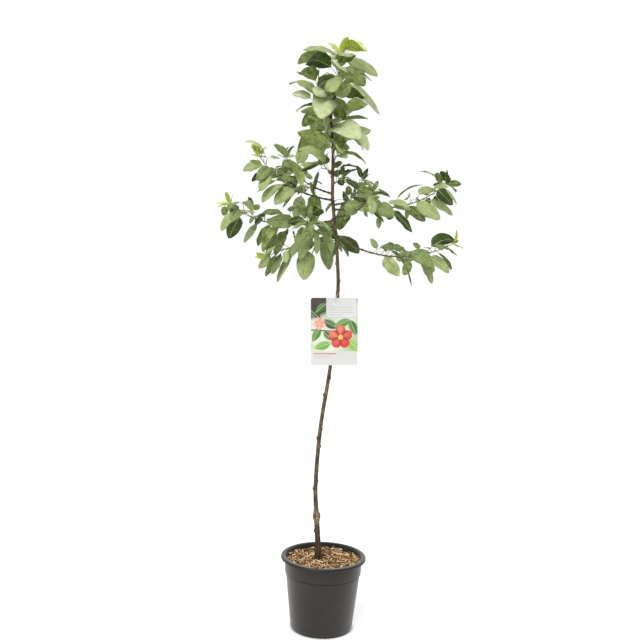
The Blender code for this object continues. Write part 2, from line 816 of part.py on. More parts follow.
def loop_way():
    """Points along the loop: up in front of the card, round the trunk and down behind."""
    hole = card_place() @ Vector((0, CARD_HOLE_UP, 0))
    heart = trunk_point(LOOP_HEIGHT)
    wrap = trunk_radius(LOOP_HEIGHT) + CLEAR + LOOP_RADIUS * 1.3
    front = CARD_BACK - CARD_THICKNESS - CLEAR - LOOP_RADIUS * 1.2
    back = CARD_BACK + CLEAR + LOOP_RADIUS * 1.5
    way = [hole]
    for aside, above in FRONT_STRAND:
        way.append(Vector((hole.x + aside, front, hole.z + above)))
    for step in range(LOOP_WRAP_STEPS + 1):
        share = step / LOOP_WRAP_STEPS
        around_trunk = bearing(LOOP_WRAP[0] + (LOOP_WRAP[1] - LOOP_WRAP[0]) * share, 0) * wrap
        way.append(heart + around_trunk + UP * LOOP_WRAP_RISE * (math.sin(math.pi * share) - 0.4))
    for aside, behind, above in BACK_STRAND:
        way.append(Vector((heart.x - wrap + aside, heart.y + behind, hole.z + above)))
    aside, above = FRONT_STRAND[0]
    way.append(Vector((hole.x - aside, back, hole.z + above)))
    return way


def make_loop(finish, group):
    """The card's loop: through its hole, over its top edge and once round the trunk."""
    way = loop_way()
    curve = bpy.data.curves.new("label_loop", "CURVE")
    curve.dimensions = "3D"
    curve.bevel_depth = LOOP_RADIUS
    curve.bevel_resolution = 1
    spline = curve.splines.new("NURBS")
    spline.points.add(len(way) - 1)
    spline.use_cyclic_u = True
    spline.order_u = 3
    spline.resolution_u = 2
    for place, point in zip(spline.points, way):
        place.co = (*point, 1)
    guide = bpy.data.objects.new("loop_guide", curve)
    group.objects.link(guide)
    mesh = evaluated_mesh(guide)
    bpy.data.objects.remove(guide)
    return add_object("label_loop", mesh, finish, group)


def take_trunk(space):
    """Marks the trunk's crown end as taken."""
    count = round((TRUNK_TOP - CROWN_LOW.z) / TAKEN_STEP)
    for i in range(count + 1):
        height = CROWN_LOW.z + (TRUNK_TOP - CROWN_LOW.z) * i / count
        space.take([trunk_point(height)], trunk_radius(height) + LIMB_GAP, "trunk")


def lay_out(space):
    """Each shoot with its wooden foot, its leafy stem and their radius, all marked as taken."""
    laid = []
    for shoot in (LEADER, SIDE_SHOOT):
        start = shoot_start(shoot)
        stem = run(start, shoot, 0, 1, STEM_STEP)
        radius = trunk_radius(TRUNK_TOP) if shoot is LEADER else STEM_RADIUS
        taken = run(start, shoot, 0, TIP_FREE, TAKEN_STEP)
        space.take(taken, radius + STEM_GAP, "foliage_" + shoot.name)
        laid.append((shoot, None, stem, radius))
    for shoot in BOUGHS:
        start = shoot_start(shoot)
        split = WOOD_SHARE + CLEAR / shoot.length
        wood = run(start, shoot, 0, WOOD_SHARE, BOUGH_STEP)
        stem = run(start, shoot, split, 1, STEM_STEP)
        radius = BOUGH_RADIUS + (SHOOT_TIP_RADIUS - BOUGH_RADIUS) * WOOD_SHARE
        taken = run(start, shoot, 0, WOOD_SHARE, TAKEN_STEP)
        space.take(taken, BOUGH_RADIUS + LIMB_GAP, "bough_" + shoot.name)
        taken = run(start, shoot, split, TIP_FREE, TAKEN_STEP)
        space.take(taken, SHOOT_TIP_RADIUS + LIMB_GAP, "foliage_" + shoot.name)
        laid.append((shoot, wood, stem, radius))
    for shoot in trunk_spurs():
        stem = run(shoot_start(shoot), shoot, 0, 1, SPUR_LENGTH / 2)
        space.take(stem[:-1], SHOOT_TIP_RADIUS + LIMB_GAP, "foliage_" + shoot.name)
        laid.append((shoot, None, stem, STEM_RADIUS))
    return laid


def make_crown(bark, leaf_green, group):
    """The boughs, the masses of foliage at their tips and round the trunk, and the leader's."""
    space = Space()
    take_trunk(space)
    for shoot, wood, stem, radius in lay_out(space):
        if wood:
            radii = tapers(BOUGH_RADIUS, radius, len(wood))
            limb("bough_" + shoot.name, wood, radii, 1, bark, group)
        name = "foliage_" + shoot.name
        leaves, twigs = grow(name, stem, shoot, space)
        foliage(name, stem, radius, leaves, twigs, leaf_green, group)


def trunk_spurs():
    """The short shoots up the trunk, each a golden turn past the one below."""
    spurs = []
    for i, seed in enumerate(SPUR_SEEDS):
        share = i / (len(SPUR_SEEDS) - 1)
        height = SPUR_LOW + (SPUR_HIGH - SPUR_LOW) * share
        heading = SPUR_HEADING + GOLDEN_TURN * i
        leaf = SPUR_LEAF[0] + (SPUR_LEAF[1] - SPUR_LEAF[0]) * min(1.0, share * SPUR_GROWTH)
        place = (f"spur_{i + 1}", height, heading, 0, SPUR_PITCHES)
        spurs.append(Shoot(*place, SPUR_LENGTH, SPUR_LEAVES, leaf, seed))
    return spurs


def main():
    """Builds the whole plant in its pot."""
    clear_scene()
    group = collection("potted_apple_tree")
    plastic = material("pot_plastic", (74, 71, 67), 0.5)
    earth = material("potting_mix", (58, 43, 32), 0.95)
    chips = material("coir_chips", (168, 138, 102), 0.9)
    bark = material("bark", (98, 86, 68), 0.8)
    leaf_green = material("apple_leaf", (112, 130, 78), 0.6)
    card = material("printed_card", (232, 231, 226), 0.35)
    loop = material("tie_plastic", (222, 216, 200), 0.5)
    make_pot(plastic, group)
    make_mix(earth, group)
    make_mulch(chips, group)
    make_trunk(bark, group)
    make_crown(bark, leaf_green, group)
    make_card(card, group)
    make_loop(loop, group)


main()
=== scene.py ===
"""The looks of a young dwarf apple tree in a dark plastic nursery pot.

Run as a script, it dresses the tree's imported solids: each new piece rides on the tree's one body
and stands for the solids that it hides. Metres, +Z up, -Y the front, in the solids' own frame.
A heading is turned in degrees from +X towards +Y.
"""

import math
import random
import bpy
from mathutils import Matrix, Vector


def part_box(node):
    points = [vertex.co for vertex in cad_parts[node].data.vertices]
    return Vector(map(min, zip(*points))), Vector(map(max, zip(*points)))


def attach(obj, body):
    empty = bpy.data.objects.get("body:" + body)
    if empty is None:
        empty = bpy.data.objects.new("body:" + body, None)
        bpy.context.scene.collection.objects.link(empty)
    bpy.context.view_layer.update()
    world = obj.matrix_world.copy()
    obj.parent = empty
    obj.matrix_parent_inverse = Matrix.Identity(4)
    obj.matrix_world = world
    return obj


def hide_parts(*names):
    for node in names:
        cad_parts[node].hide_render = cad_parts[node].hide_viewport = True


bl_info = {
    "name": "Potted fruit tree",
    "version": (1, 0, 0),
    "blender": (4, 5, 0),
    "location": "View3D > Sidebar > Fruit tree",
    "description": "Pot, coir chips, bark, leaves and picture card of a young potted fruit tree",
    "category": "Object",
}

from dataclasses import dataclass
from functools import cache

import bmesh
import bpy
import numpy as np
from bpy.props import FloatProperty, FloatVectorProperty, IntProperty, PointerProperty
from mathutils import Matrix, Vector, noise

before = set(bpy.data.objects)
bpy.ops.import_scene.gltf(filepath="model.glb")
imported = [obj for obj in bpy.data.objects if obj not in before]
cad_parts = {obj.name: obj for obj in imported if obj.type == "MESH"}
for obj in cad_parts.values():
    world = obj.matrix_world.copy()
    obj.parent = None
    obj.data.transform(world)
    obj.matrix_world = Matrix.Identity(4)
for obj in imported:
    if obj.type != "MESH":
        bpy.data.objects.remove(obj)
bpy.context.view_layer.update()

UP = Vector((0, 0, 1))

# The gap between solids that would otherwise touch.
CLEAR = 0.0003

# Pot: a tapered bucket with a turned-down lip, a wider band and a rounded foot.
POT_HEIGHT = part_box("pot")[1].z
RIM_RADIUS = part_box("pot")[1].x
LIP_DEPTH = 0.007
LIP_WALL = 0.002
LIP_ROUND = 0.0035
LIP_STEPS = 8
BAND_TOP_RADIUS = 0.1000
BAND_FOOT_RADIUS = 0.0985
BAND_FOOT = 0.148
BAND_SHELF = 0.002
BODY_TOP_RADIUS = 0.0960
BODY_FOOT_RADIUS = 0.0812
FOOT_ROUND = 0.014
FOOT_RADIUS = 0.0740
FOOT_STEPS = 10
POT_WALL = 0.0020
POT_FLOOR = 0.0030
POT_SIDES = 180
SHARP_ANGLE = 32
DRAINS = 8
DRAIN_RADIUS = 0.0045
DRAIN_RING = 0.060
SLOT_WIDTH = 0.016
SLOT_RIB = 0.005
SLOT_HEIGHT = 0.0026
SLOT_START = 0.054

# Painted shade between these heights: a contact shadow at the foot, shade under the band and under the lip.
PAINTED_SHADE_HEIGHTS = ((0.0001, 0.0040), (0.1455, 0.1484), (0.1846, 0.1856), (0.1870, 0.1897))

# Filling
MIX_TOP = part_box("potting_mix")[1].z
MULCH_TOP = 0.1805
BED_DROP = 0.0032
BED_BUMP = 0.0012
BED_HOLLOW = 0.0055
BED_RINGS = 40
BED_SIDES = 120
CHIP_COUNT = 2700
CHIP_LENGTH = (0.006, 0.020)
CHIP_WIDTH = (0.0009, 0.0036)
CHIP_THICKNESS = (0.0004, 0.0010)
CHIP_LIFT = (-0.0034, 0.0013)
CHIP_SEED = 21
HOLLOW_REACH = 0.017

# The share of chips that stand up, and how far chips pitch and roll, in radians.
STEEP_CHIPS = 0.24
STEEP_PITCH = 0.55
FLAT_PITCH = 0.14
CHIP_ROLL = 0.35

# How far the chips' middles and the filling keep from the wall, and chips from the trunk's heart.
CHIP_INSET = 0.0015
WALL_GAP = 0.0006
HEART_GAP = 0.0092

# Trunk: (height, x, y) along its heart, and (height, radius) along its bark.
TRUNK_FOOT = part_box("trunk")[0].z
TRUNK_TOP = 1.375
TRUNK_WAY = (
    (0.171, -0.0140, 0.014),
    (0.200, -0.0140, 0.014),
    (0.290, -0.0215, 0.015),
    (0.370, -0.0265, 0.014),
    (0.520, -0.0195, 0.010),
    (0.670, -0.0010, 0.006),
    (0.800, 0.0105, 0.003),
    (0.900, 0.0130, 0.003),
    (1.010, 0.0040, 0.004),
    (1.110, -0.0080, 0.006),
    (1.240, -0.0120, 0.006),
    (1.322, -0.0190, 0.006),
    (1.375, -0.0090, 0.005),
)
TRUNK_GIRTH = (
    (0.171, 0.0108),
    (0.186, 0.0086),
    (0.220, 0.0071),
    (0.276, 0.0069),
    (0.285, 0.0099),
    (0.295, 0.0102),
    (0.303, 0.0070),
    (0.310, 0.0060),
    (0.340, 0.0056),
    (0.600, 0.0050),
    (0.900, 0.0043),
    (1.200, 0.0038),
    (1.375, 0.0029),
)
TRUNK_RING = 0.0014
TRUNK_SIDES = 26
GRAFT_HEIGHT = 0.290

# The graft's swollen union, the slanting slot in it, and the ribs that flare at the trunk's foot.
UNION_RISE = 0.0013
UNION_SPREAD = 0.012
SLOT_SLANT = 0.007
SLOT_HEADING = 215
SLOT_DEPTH = 0.0016
SLOT_HALF = 0.0017
FLARE_RISE = 0.0013
FLARE_FALL = 0.014

# Knobs where side shoots were cut off: (height, heading, how far it stands out).
KNOBS = (
    (0.251, 185, 0.0022),
    (0.364, 190, 0.0024),
    (0.384, 350, 0.0014),
    (0.431, 250, 0.0017),
    (0.476, 5, 0.0020),
    (0.498, 175, 0.0024),
    (0.521, 330, 0.0016),
    (0.566, 90, 0.0018),
    (0.612, 195, 0.0026),
    (0.655, 20, 0.0016),
    (0.700, 130, 0.0018),
    (0.760, 300, 0.0015),
    (0.905, 350, 0.0014),
    (0.948, 170, 0.0020),
    (0.975, 60, 0.0016),
    (1.165, 200, 0.0012),
    (1.235, 340, 0.0012),
)
KNOB_SPREAD = 0.0034
COLLAR_RISE = 0.0014
COLLAR_SPREAD = 0.0050
LENTICELS = 420
LENTICEL_RISE = 0.00028
LENTICEL_HALF = (0.0016, 0.0009)
LENTICEL_SEED = 8

# How dark the cut faces of the knobs and the graft's slot are, and how far that spreads.
CUT_DARK = 0.85
CUT_SPREAD = 0.0022
SLOT_DARK = 0.8
SLOT_SPREAD = 0.0016

# Boughs: the woody share of each shoot is the bough, and the rest is its mass of foliage.
WOOD_SHARE = 0.30
BOUGH_RADIUS = 0.0024
STEM_RADIUS = 0.00168
SHOOT_TIP_RADIUS = 0.0009
STEM_STEP = 0.014
FINE_STEP = 0.0016
BOUGH_SIDES = 14
BOUGH_NODES = (0.22, 0.48, 0.74, 0.97)
COLLAR_SWELL = 0.55
COLLAR_FALL = 0.005
SHOOT_SIDES = 10
NODE_SWELL = 0.38
NODE_SPREAD = 0.0022

# A leaf stands at this share of the way from one node to the next.
NODE_AT = 0.35

# New wood is green from this share of a shoot's length on.
GREEN_FROM = 0.72
BUD_LENGTH = 0.0036

# Leaves: the rule that the solids grew by.
GOLDEN_TURN = 137.5
OUTLINE_BASE = 0.55
OUTLINE_TIP = 0.78
TRIES = 8
TUFT_LEAVES = 3
SIDE_TWIG_EVERY = 4
LEAF_GAP = 0.0105
OWN_GAP = 0.0065
LIMB_GAP = 0.006
STEM_GAP = 0.0036
TAKEN_STEP = 0.005
TIP_FREE = 0.93
MARKS_ALONG = (0.06, 0.2, 0.34, 0.48, 0.62, 0.76, 0.88, 0.97)
MARKS_ACROSS = (-0.85, -0.45, 0, 0.45, 0.85)
CROWN_LOW = Vector((-0.302, -0.250, 0.884))
CROWN_HIGH = Vector((0.312, 0.255, 1.507))
SPUR_SEEDS = (683, 822, 708, 991, 798, 661, 151, 199)
SPUR_LOW = 1.150
SPUR_HIGH = 1.345
SPUR_HEADING = 20
SPUR_LENGTH = 0.022
SPUR_LEAVES = 2
SPUR_LEAF = (0.066, 0.118)
SPUR_PITCHES = (24, 40, 50)
SPUR_GROWTH = 1.6

# Fine leaves: a fuller outline than the solids', side veins that sweep to the tip, a toothed
# margin, and a blade that is raised between its veins and rolled down along its edges.
BLADE_BASE = 0.50
BLADE_TIP = 0.66
BLADE_SLIM = 0.94
ROLL = (0.05, 0.60)
VEIN_HALF = 0.0062
VEIN_TAPER = 0.72
VEIN_REACH = 0.86
SWEEP = 0.36
MIDRIB_HALF = 0.034
TOOTH = 0.080
QUILT = 0.0120
MIDRIB_DIP = 0.009
MARGIN_WAVE = 0.020
LEAF_THICKNESS = 0.00042
STALK_RADIUS = 0.00085
STALK_SIDES = 7
MIDRIB_END = 0.86

# Patterns of a leaf: (side veins, rows between two of them, places of the columns from midrib
# to margin, places of the rows at the tip). A leaf longer than LARGE_LEAF takes the large one.
LARGE_PATTERN = (7, 5, (MIDRIB_HALF, 0.17, 0.36, 0.56, 0.78, 1.0), (0.0, 0.22, 0.42, 0.60, 0.76, 0.89, 1.0))
SMALL_PATTERN = (5, 1, (MIDRIB_HALF, 0.34, 0.68, 1.0), (0.0, 0.4, 0.75, 1.0))
LARGE_LEAF = 0.040

# Young leaves at a shoot's tip and small ones between the others: (shortest, longest).
YOUNG_LEAF = (0.018, 0.038)
SMALL_LEAF = (0.016, 0.034)
SMALL_SHARE = 0.6
YOUNG_COUNT = 4

# Shoots with young yellowish tips: their tip leaves are young where they are shorter than this.
YOUNG_LENGTH = {
    "leader": 0.060,
    "side_shoot": 0.048,
    "left_upper": 0.048,
    "left_middle": 0.060,
    "left_lower": 0.048,
    "right_lower": 0.048,
}

# Above this height every leaf is young.
NEW_GROWTH = 1.456
FINE_SEED = 5000

# Painted shade: deep green leaves stand more often below this height and within this reach of the trunk
# to its left and right, and twice as far to the front and the back.
SHADE_REACH = 0.15
SHADE_TOP = 1.20
SHADE_DEEP = 0.80

# How often a leaf is deep, middle, bright or pale; up the leader the brighter mix is painted light.
LEADER_TONES = (0.04, 0.23, 0.44, 0.29)
SIDE_TONES = (0.30, 0.38, 0.25, 0.07)

# Slots of a leaf piece: the tones of the upper side and two more for ribs, then the same
# underneath. Each tone has the slot of its side veins and that of its midrib.
TONES = ("deep", "middle", "bright", "pale", "young")
VEINS = {0: (1, 2), 1: (2, 3), 2: (3, 5), 3: (5, 5), 4: (6, 6)}
UNDERSIDE = len(TONES) + 2

# Skins of a leaf above, in the order of the slots: (name, colours, roughness, gloss). Their tones are
# partly the leaves' own greens, partly painted light and shade:
# deep for shaded leaves, bright and pale for lit ones.
LEAF_SKINS = (
    ("leaf_upper_deep", ("#22320F", "#394D1D", "#50662E"), 0.44, 0.32),
    ("leaf_upper_middle", ("#445622", "#667938", "#869858"), 0.46, 0.30),
    ("leaf_upper_bright", ("#6C7E3C", "#8F9E59", "#B0BD7B"), 0.48, 0.28),
    ("leaf_upper_pale", ("#7F8E4E", "#A1AE6D", "#C1CC93"), 0.50, 0.28),
    ("leaf_upper_young", ("#96A631", "#AFBD45", "#C7D165"), 0.46, 0.28),
    ("leaf_rib_upper", ("#BBC488", "#CBD29A"), 0.50, 0.28),
    ("leaf_rib_young", ("#CDD67A", "#DBE192"), 0.46, 0.28),
)

# The same underneath, each with its down. Two of them serve two slots each. The deep one is partly
# painted shade, as above.
LEAF_UNDERSKINS = (
    ("leaf_under_deep", ("#5E6D3D", "#71804E", "#839260"), 0.78, 0.12, 0.04),
    ("leaf_under", ("#7B8952", "#8E9B64", "#A0AC77"), 0.80, 0.12, 0.05),
    ("leaf_under_pale", ("#98A374", "#A9B286", "#B9C198"), 0.80, 0.12, 0.06),
    ("leaf_under_young", ("#A8B54E", "#B9C463", "#CAD27E"), 0.74, 0.12, 0.04),
    ("leaf_rib_under", ("#B8BF8E", "#C6CCA1"), 0.72, 0.12, 0.03),
)

# Skins of a shoot: (name, colours, size of their patches, roughness, bump, grain). New wood is
# dull brown and its tip still green, stalks are pale and smooth, and buds have dry scales.
STEM_SKINS = (
    ("new_shoot_bark", ("#4A3F31", "#5E5240", "#75684F"), 0.006, 0.60, 0.5, 0.0006),
    ("green_shoot", ("#6C6A48", "#7F7F58", "#96976C"), 0.006, 0.58, 0.4, 0.0006),
    ("leaf_stalk", ("#8E9D62", "#A3B075", "#B4BF88"), 0.008, 0.55, 0.2, 0.0006),
    ("bud_scale", ("#5B4035", "#75564A", "#93756A"), 0.002, 0.62, 0.4, 0.0005),
)

# Coir, split from the husk along its fibres and dried: matt, tan to dark brown, and no two
# chips alike. (name, colours, roughness)
CHIP_SKINS = (
    ("coir_chip_tan", ("#8F6A3C", "#AB8554", "#C4A172"), 0.86),
    ("coir_chip_pale", ("#CCAC82", "#DFC49D", "#F0DCBE"), 0.84),
    ("coir_chip_brown", ("#5E3B17", "#78522B", "#936B40"), 0.88),
    ("coir_chip_dark", ("#221103", "#341D09", "#4A2E14"), 0.90),
)

# Bark: the heights between which its colours are spread, and where in that span each stands.
BARK_HEIGHTS = (0.17, 1.40)
BARK_COLOURS = (
    (0.00, "#3E2B1D"),
    (0.055, "#493827"),
    (0.080, "#514030"),
    (0.090, "#84765D"),
    (0.104, "#84765D"),
    (0.114, "#554830"),
    (0.30, "#594D34"),
    (0.60, "#5D4F36"),
    (0.80, "#50412B"),
    (1.00, "#52472F"),
)

# The sockets of a Mix node of colours, and the inputs of a Map Range node in their order.
SHARE, UNDER, UPPER, MIXED = 0, 6, 7, 2
RANGE = ("Value", "From Min", "From Max", "To Min", "To Max")

# Picture card
CARD_WIDTH = 0.119
CARD_HEIGHT = 0.172
CARD_THICKNESS = 0.0010
CARD_CORNER = 0.006
CARD_CENTRE = (0.0075, 0.776)
CARD_LEAN = -1.8
CARD_BACK = -0.0022
CARD_HOLE_UP = 0.0710
CARD_HOLE_RADIUS = 0.0024
CARD_COLUMNS = 160
CARD_ROWS = 230
CARD_SHEET = 0.0005
CARD_BOW = 0.0028
CARD_CURL = 0.0128

# Camera: where the photographer stood, for a square picture.
CAMERA_PLACE = (-0.02965, -2.4, 1.02301)
CAMERA_PITCH = -5.2065
CAMERA_ROLL = 1.95
CAMERA_LENS = 53.39
SENSOR = 36

# Studio: half the floor's width, the heights between which the sky dims, as shares of the way
# to its top, and each lamp as (the way to it, how many degrees wide it is).
FLOOR_HALF = 6
DIMMED = (0.35, 0.6)
KEY_LIGHT = ((-0.75, -1.5, 1.9), 36)
TOP_LIGHT = ((0.7, 0.4, 2.2), 70)


@dataclass
class Shoot:
    """A leafy shoot: where it leaves the trunk, how it runs and the leaves that it carries."""

    name: str
    height: float
    heading: float
    turn: float
    pitches: tuple
    length: float
    leaves: int
    leaf_length: float
    seed: int


# The shoots of the lower crown. The pitches are those at the foot, the middle and the tip.
BOUGHS = (
    Shoot("left_upper", 1.108, 178, 10, (6, 24, 56), 0.210, 9, 0.078, 532),
    Shoot("left_middle", 1.056, 184, -12, (-12, -6, 40), 0.268, 12, 0.076, 99),
    Shoot("left_lower", 1.014, 196, -8, (-24, 4, -30), 0.165, 9, 0.078, 860),
    Shoot("right_upper", 1.084, 2, 10, (3, -4, 46), 0.296, 11, 0.076, 49),
    Shoot("right_lower", 1.016, -4, 8, (-34, 0, 28), 0.300, 12, 0.078, 645),
    Shoot("front_left", 1.036, 243, 16, (-16, 4, 26), 0.205, 8, 0.072, 196),
    Shoot("front_right", 1.066, 303, -14, (2, 8, 40), 0.195, 8, 0.068, 137),
    Shoot("back_left", 1.124, 124, 8, (10, 14, 52), 0.225, 9, 0.074, 848),
    Shoot("back_right", 1.096, 62, 12, (6, 8, 46), 0.215, 9, 0.074, 135),
    Shoot("back_lower", 1.028, 98, -10, (-22, 0, 22), 0.200, 8, 0.074, 676),
)
LEADER = Shoot("leader", TRUNK_TOP, 10, 0, (80, 84, 88), 0.092, 12, 0.118, 754)
SIDE_SHOOT = Shoot("side_shoot", 1.314, 184, 0, (38, 100, 90), 0.128, 8, 0.104, 660)


@dataclass
class Leaf:
    """One leaf: its stalk from foot to neck, and its blade's direction, face and measures."""

    foot: Vector
    neck: Vector
    along: Vector
    face: Vector
    length: float
    width: float
    bend: float
    fold: float
    young: bool = False


@dataclass
class Pattern:
    """A flat leaf to bend: its mesh, each vertex's place on the blade, and each face's kind.

    A face is of the blade (0), a side vein (1) or the midrib (2).
    """

    mesh: bpy.types.Mesh
    along: np.ndarray
    across: np.ndarray
    raised: np.ndarray
    notched: np.ndarray
    ribs: np.ndarray


class Space:
    """The points that limbs and leaves have taken, and the gap that others keep to each."""

    def __init__(self):
        self.points = np.empty((0, 3))
        self.gaps = np.empty(0)
        self.owners = np.empty(0, dtype=object)

    def take(self, points, gap, owner):
        """Adds points that belong to an owner."""
        self.points = np.vstack([self.points, np.array(points)])
        self.gaps = np.append(self.gaps, [gap] * len(points))
        self.owners = np.append(self.owners, [owner] * len(points))

    def is_free(self, points, owner):
        """Whether the points keep their gap to all that is taken, closer to their own mass."""
        marks = np.array(points)
        if (marks < np.array(CROWN_LOW)).any() or (marks > np.array(CROWN_HIGH)).any():
            return False
        low, high = marks.min(axis=0) - LEAF_GAP, marks.max(axis=0) + LEAF_GAP
        near = ((self.points > low) & (self.points < high)).all(axis=1)
        own = self.owners[near] == owner
        gaps = np.where(own, np.minimum(self.gaps[near], OWN_GAP), self.gaps[near])
        apart = self.points[near][None, :, :] - marks[:, None, :]
        return not ((apart**2).sum(axis=2) < gaps[None, :] ** 2).any()


# The way that limbs run and leaves grow, as in the solids

def between(table, at):
    """The values of a table of rows, each (place, value, ...), smoothly joined, at a place."""
    places = [row[0] for row in table]
    i = max(0, min(len(table) - 2, sum(place <= at for place in places) - 1))
    t = max(0.0, min(1.0, (at - places[i]) / (places[i + 1] - places[i])))
    near = [table[max(0, min(len(table) - 1, i + k))] for k in (-1, 0, 1, 2)]
    found = []
    for column in range(1, len(table[0])):
        a, b, c, d = (row[column] for row in near)
        rise = (c - a) / (near[2][0] - near[0][0]) * (places[i + 1] - places[i])
        fall = (d - b) / (near[3][0] - near[1][0]) * (places[i + 1] - places[i])
        bends = (3 * (c - b) - 2 * rise - fall, 2 * (b - c) + rise + fall)
        found.append(b + rise * t + bends[0] * t**2 + bends[1] * t**3)
    return found


def straight_between(table, at):
    """The value of a table of (place, value) rows, joined by straight lines, at a place."""
    return float(np.interp(at, [row[0] for row in table], [row[1] for row in table]))


def trunk_point(height):
    """The trunk's heart at a height."""
    x, y = between(TRUNK_WAY, height)
    return Vector((x, y, height))


def trunk_radius(height):
    """The trunk's radius at a height."""
    return straight_between(TRUNK_GIRTH, height)


def bearing(heading, pitch):
    """The unit vector of a heading and a pitch, in degrees."""
    yaw, rise = math.radians(heading), math.radians(pitch)
    return Vector((math.cos(rise) * math.cos(yaw), math.cos(rise) * math.sin(yaw), math.sin(rise)))


def shoot_start(shoot):
    """Where a shoot's foot stands, clear of the trunk's bark."""
    if shoot.height >= TRUNK_TOP:
        return trunk_point(TRUNK_TOP) + UP * CLEAR
    tilt = abs(math.sin(math.radians(shoot.pitches[0])))
    reach = trunk_radius(shoot.height) + CLEAR + BOUGH_RADIUS * tilt
    return trunk_point(shoot.height) + bearing(shoot.heading, 0) * reach


def run(start, shoot, low, high, step):
    """Points of a shoot's path from one share of its length to another."""
    fine = max(12, round(shoot.length / 0.002))
    first, middle, last = shoot.pitches
    points, place = [start.copy()], start.copy()
    for i in range(fine):
        t = (i + 0.5) / fine
        pitch = (1 - t) ** 2 * first + 2 * t * (1 - t) * middle + t**2 * last
        place = place + bearing(shoot.heading + shoot.turn * t, pitch) * (shoot.length / fine)
        points.append(place)
    count = max(2, round((high - low) * shoot.length / step))
    return [spot_along(points, low + (high - low) * i / count)[0] for i in range(count + 1)]


def spot_along(points, share):
    """The point and the unit direction at a share of the way along evenly spaced points."""
    at = share * (len(points) - 1)
    i = min(int(at), len(points) - 2)
    return points[i].lerp(points[i + 1], at - i), (points[i + 1] - points[i]).normalized()


def outline(share, base=OUTLINE_BASE, tip=OUTLINE_TIP):
    """Half the leaf's width at a share of its length, as a share of the widest."""
    widest = base / (base + tip)
    peak = widest**base * (1 - widest) ** tip
    return share**base * (1 - share) ** tip / peak


def blade_point(leaf, share, across, above=0.0):
    """A point of the blade: share from neck to tip, across from margin to margin, -1 to 1."""
    turned = leaf.bend * share
    half = leaf.width / 2 * outline(share) * across
    rise = abs(half) * math.sin(leaf.fold) + above
    forward = leaf.length * math.sin(turned) / leaf.bend + rise * math.sin(turned)
    height = -leaf.length * (1 - math.cos(turned)) / leaf.bend + rise * math.cos(turned)
    side = leaf.face.cross(leaf.along)
    return leaf.neck + leaf.along * forward + leaf.face * height + side * (half * math.cos(leaf.fold))


def around(stem, azimuth):
    """The unit vector that stands off a stem at an angle round it, 0 being the stem's side."""
    reference = UP if abs(stem.z) < 0.8 else Vector((1, 0, 0))
    first = stem.cross(reference).normalized()
    turn = math.radians(azimuth)
    return first * math.cos(turn) + first.cross(stem) * math.sin(turn)


def propose(rng, foot, stem, azimuth, length, stalk, droop):
    """A leaf on a stem, whose blade turns its face up and hangs from its stalk."""
    radial = around(stem, azimuth)
    spread = math.radians(rng.uniform(38, 64))
    out = stem * math.cos(spread) + radial * math.sin(spread) + UP * rng.uniform(0.0, 0.3)
    out.normalize()
    neck = foot + out * stalk
    aside = Vector((rng.uniform(-1, 1), rng.uniform(-1, 1), 0)) * 0.3
    along = (out + aside - UP * rng.uniform(0.1, 0.8) * droop).normalized()
    face = UP + radial * 0.5 + aside
    face = (face - along * face.dot(along)).normalized()
    face = Matrix.Rotation(math.radians(rng.gauss(0, 32)), 3, along) @ face
    fall = math.asin(max(-1.0, min(1.0, along.z))) + math.pi / 2
    bend = max(0.15, rng.uniform(0.35, 0.75) * fall * droop)
    width = length * rng.uniform(0.54, 0.66)
    fold = math.radians(rng.uniform(8, 30))
    return Leaf(foot, neck, along, face, length, width, bend, fold)


def leaf_marks(leaf):
    """Points over a leaf, for the gaps that leaves keep."""
    marks = [blade_point(leaf, share, across) for share in MARKS_ALONG for across in MARKS_ACROSS]
    return marks + [leaf.foot.lerp(leaf.neck, 0.7)]


def try_leaf(rng, space, owner, foot, stem, azimuth, length, stalk, droop=1.0):
    """A leaf that keeps its gaps, or None where there is no room for one."""
    for attempt in range(TRIES):
        leaf = propose(rng, foot, stem, azimuth + attempt * 23, length, stalk, droop)
        marks = leaf_marks(leaf)
        if space.is_free(marks, owner):
            space.take(marks, LEAF_GAP, owner)
            return leaf
    return None


def grow(owner, points, shoot, space):
    """The leaves and side twigs of a stem: one leaf a node, and here and there a twig of two."""
    rng = random.Random(shoot.seed)
    phase = rng.uniform(0, 360)
    leaves, twigs = [], []
    for node in range(shoot.leaves):
        share = (node + NODE_AT) / shoot.leaves
        foot, stem = spot_along(points, share)
        azimuth = phase + node * GOLDEN_TURN
        length = shoot.leaf_length * (1.06 - 0.28 * share) * rng.uniform(0.82, 1.12)
        stalk = length * rng.uniform(0.22, 0.34)
        leaves.append(try_leaf(rng, space, owner, foot, stem, azimuth, length, stalk))
        if node % SIDE_TWIG_EVERY == 1:
            twig, few = side_twig(rng, space, owner, foot, stem, azimuth + 180, length)
            twigs += twig
            leaves += few
    tip, stem = spot_along(points, 1.0)
    for i in range(TUFT_LEAVES):
        length = shoot.leaf_length * rng.uniform(0.3, 0.75)
        azimuth = phase + i * 120
        droop = rng.uniform(0.3, 1.0)
        leaf = try_leaf(rng, space, owner, tip, stem, azimuth, length, length * 0.15, droop)
        if leaf:
            leaf.young = length < YOUNG_LENGTH.get(shoot.name, 0)
        leaves.append(leaf)
    return [leaf for leaf in leaves if leaf], twigs


def side_twig(rng, space, owner, foot, stem, azimuth, length):
    """A short twig with two leaves at its tip, as (twigs, leaves), both empty with no room."""
    out = (stem * 0.7 + around(stem, azimuth) + UP * 0.35).normalized()
    tip = foot + out * (length * rng.uniform(0.22, 0.36))
    if not space.is_free([foot.lerp(tip, 0.8), tip], owner):
        return [], []
    leaves = []
    for side in (0, 150):
        size = length * rng.uniform(0.55, 0.85)
        leaf = try_leaf(rng, space, owner, tip, out, azimuth + side, size, size * 0.3)
        if leaf:
            leaves.append(leaf)
    if not leaves:
        return [], []
    space.take([tip], OWN_GAP, owner)
    return [(foot, tip)], leaves


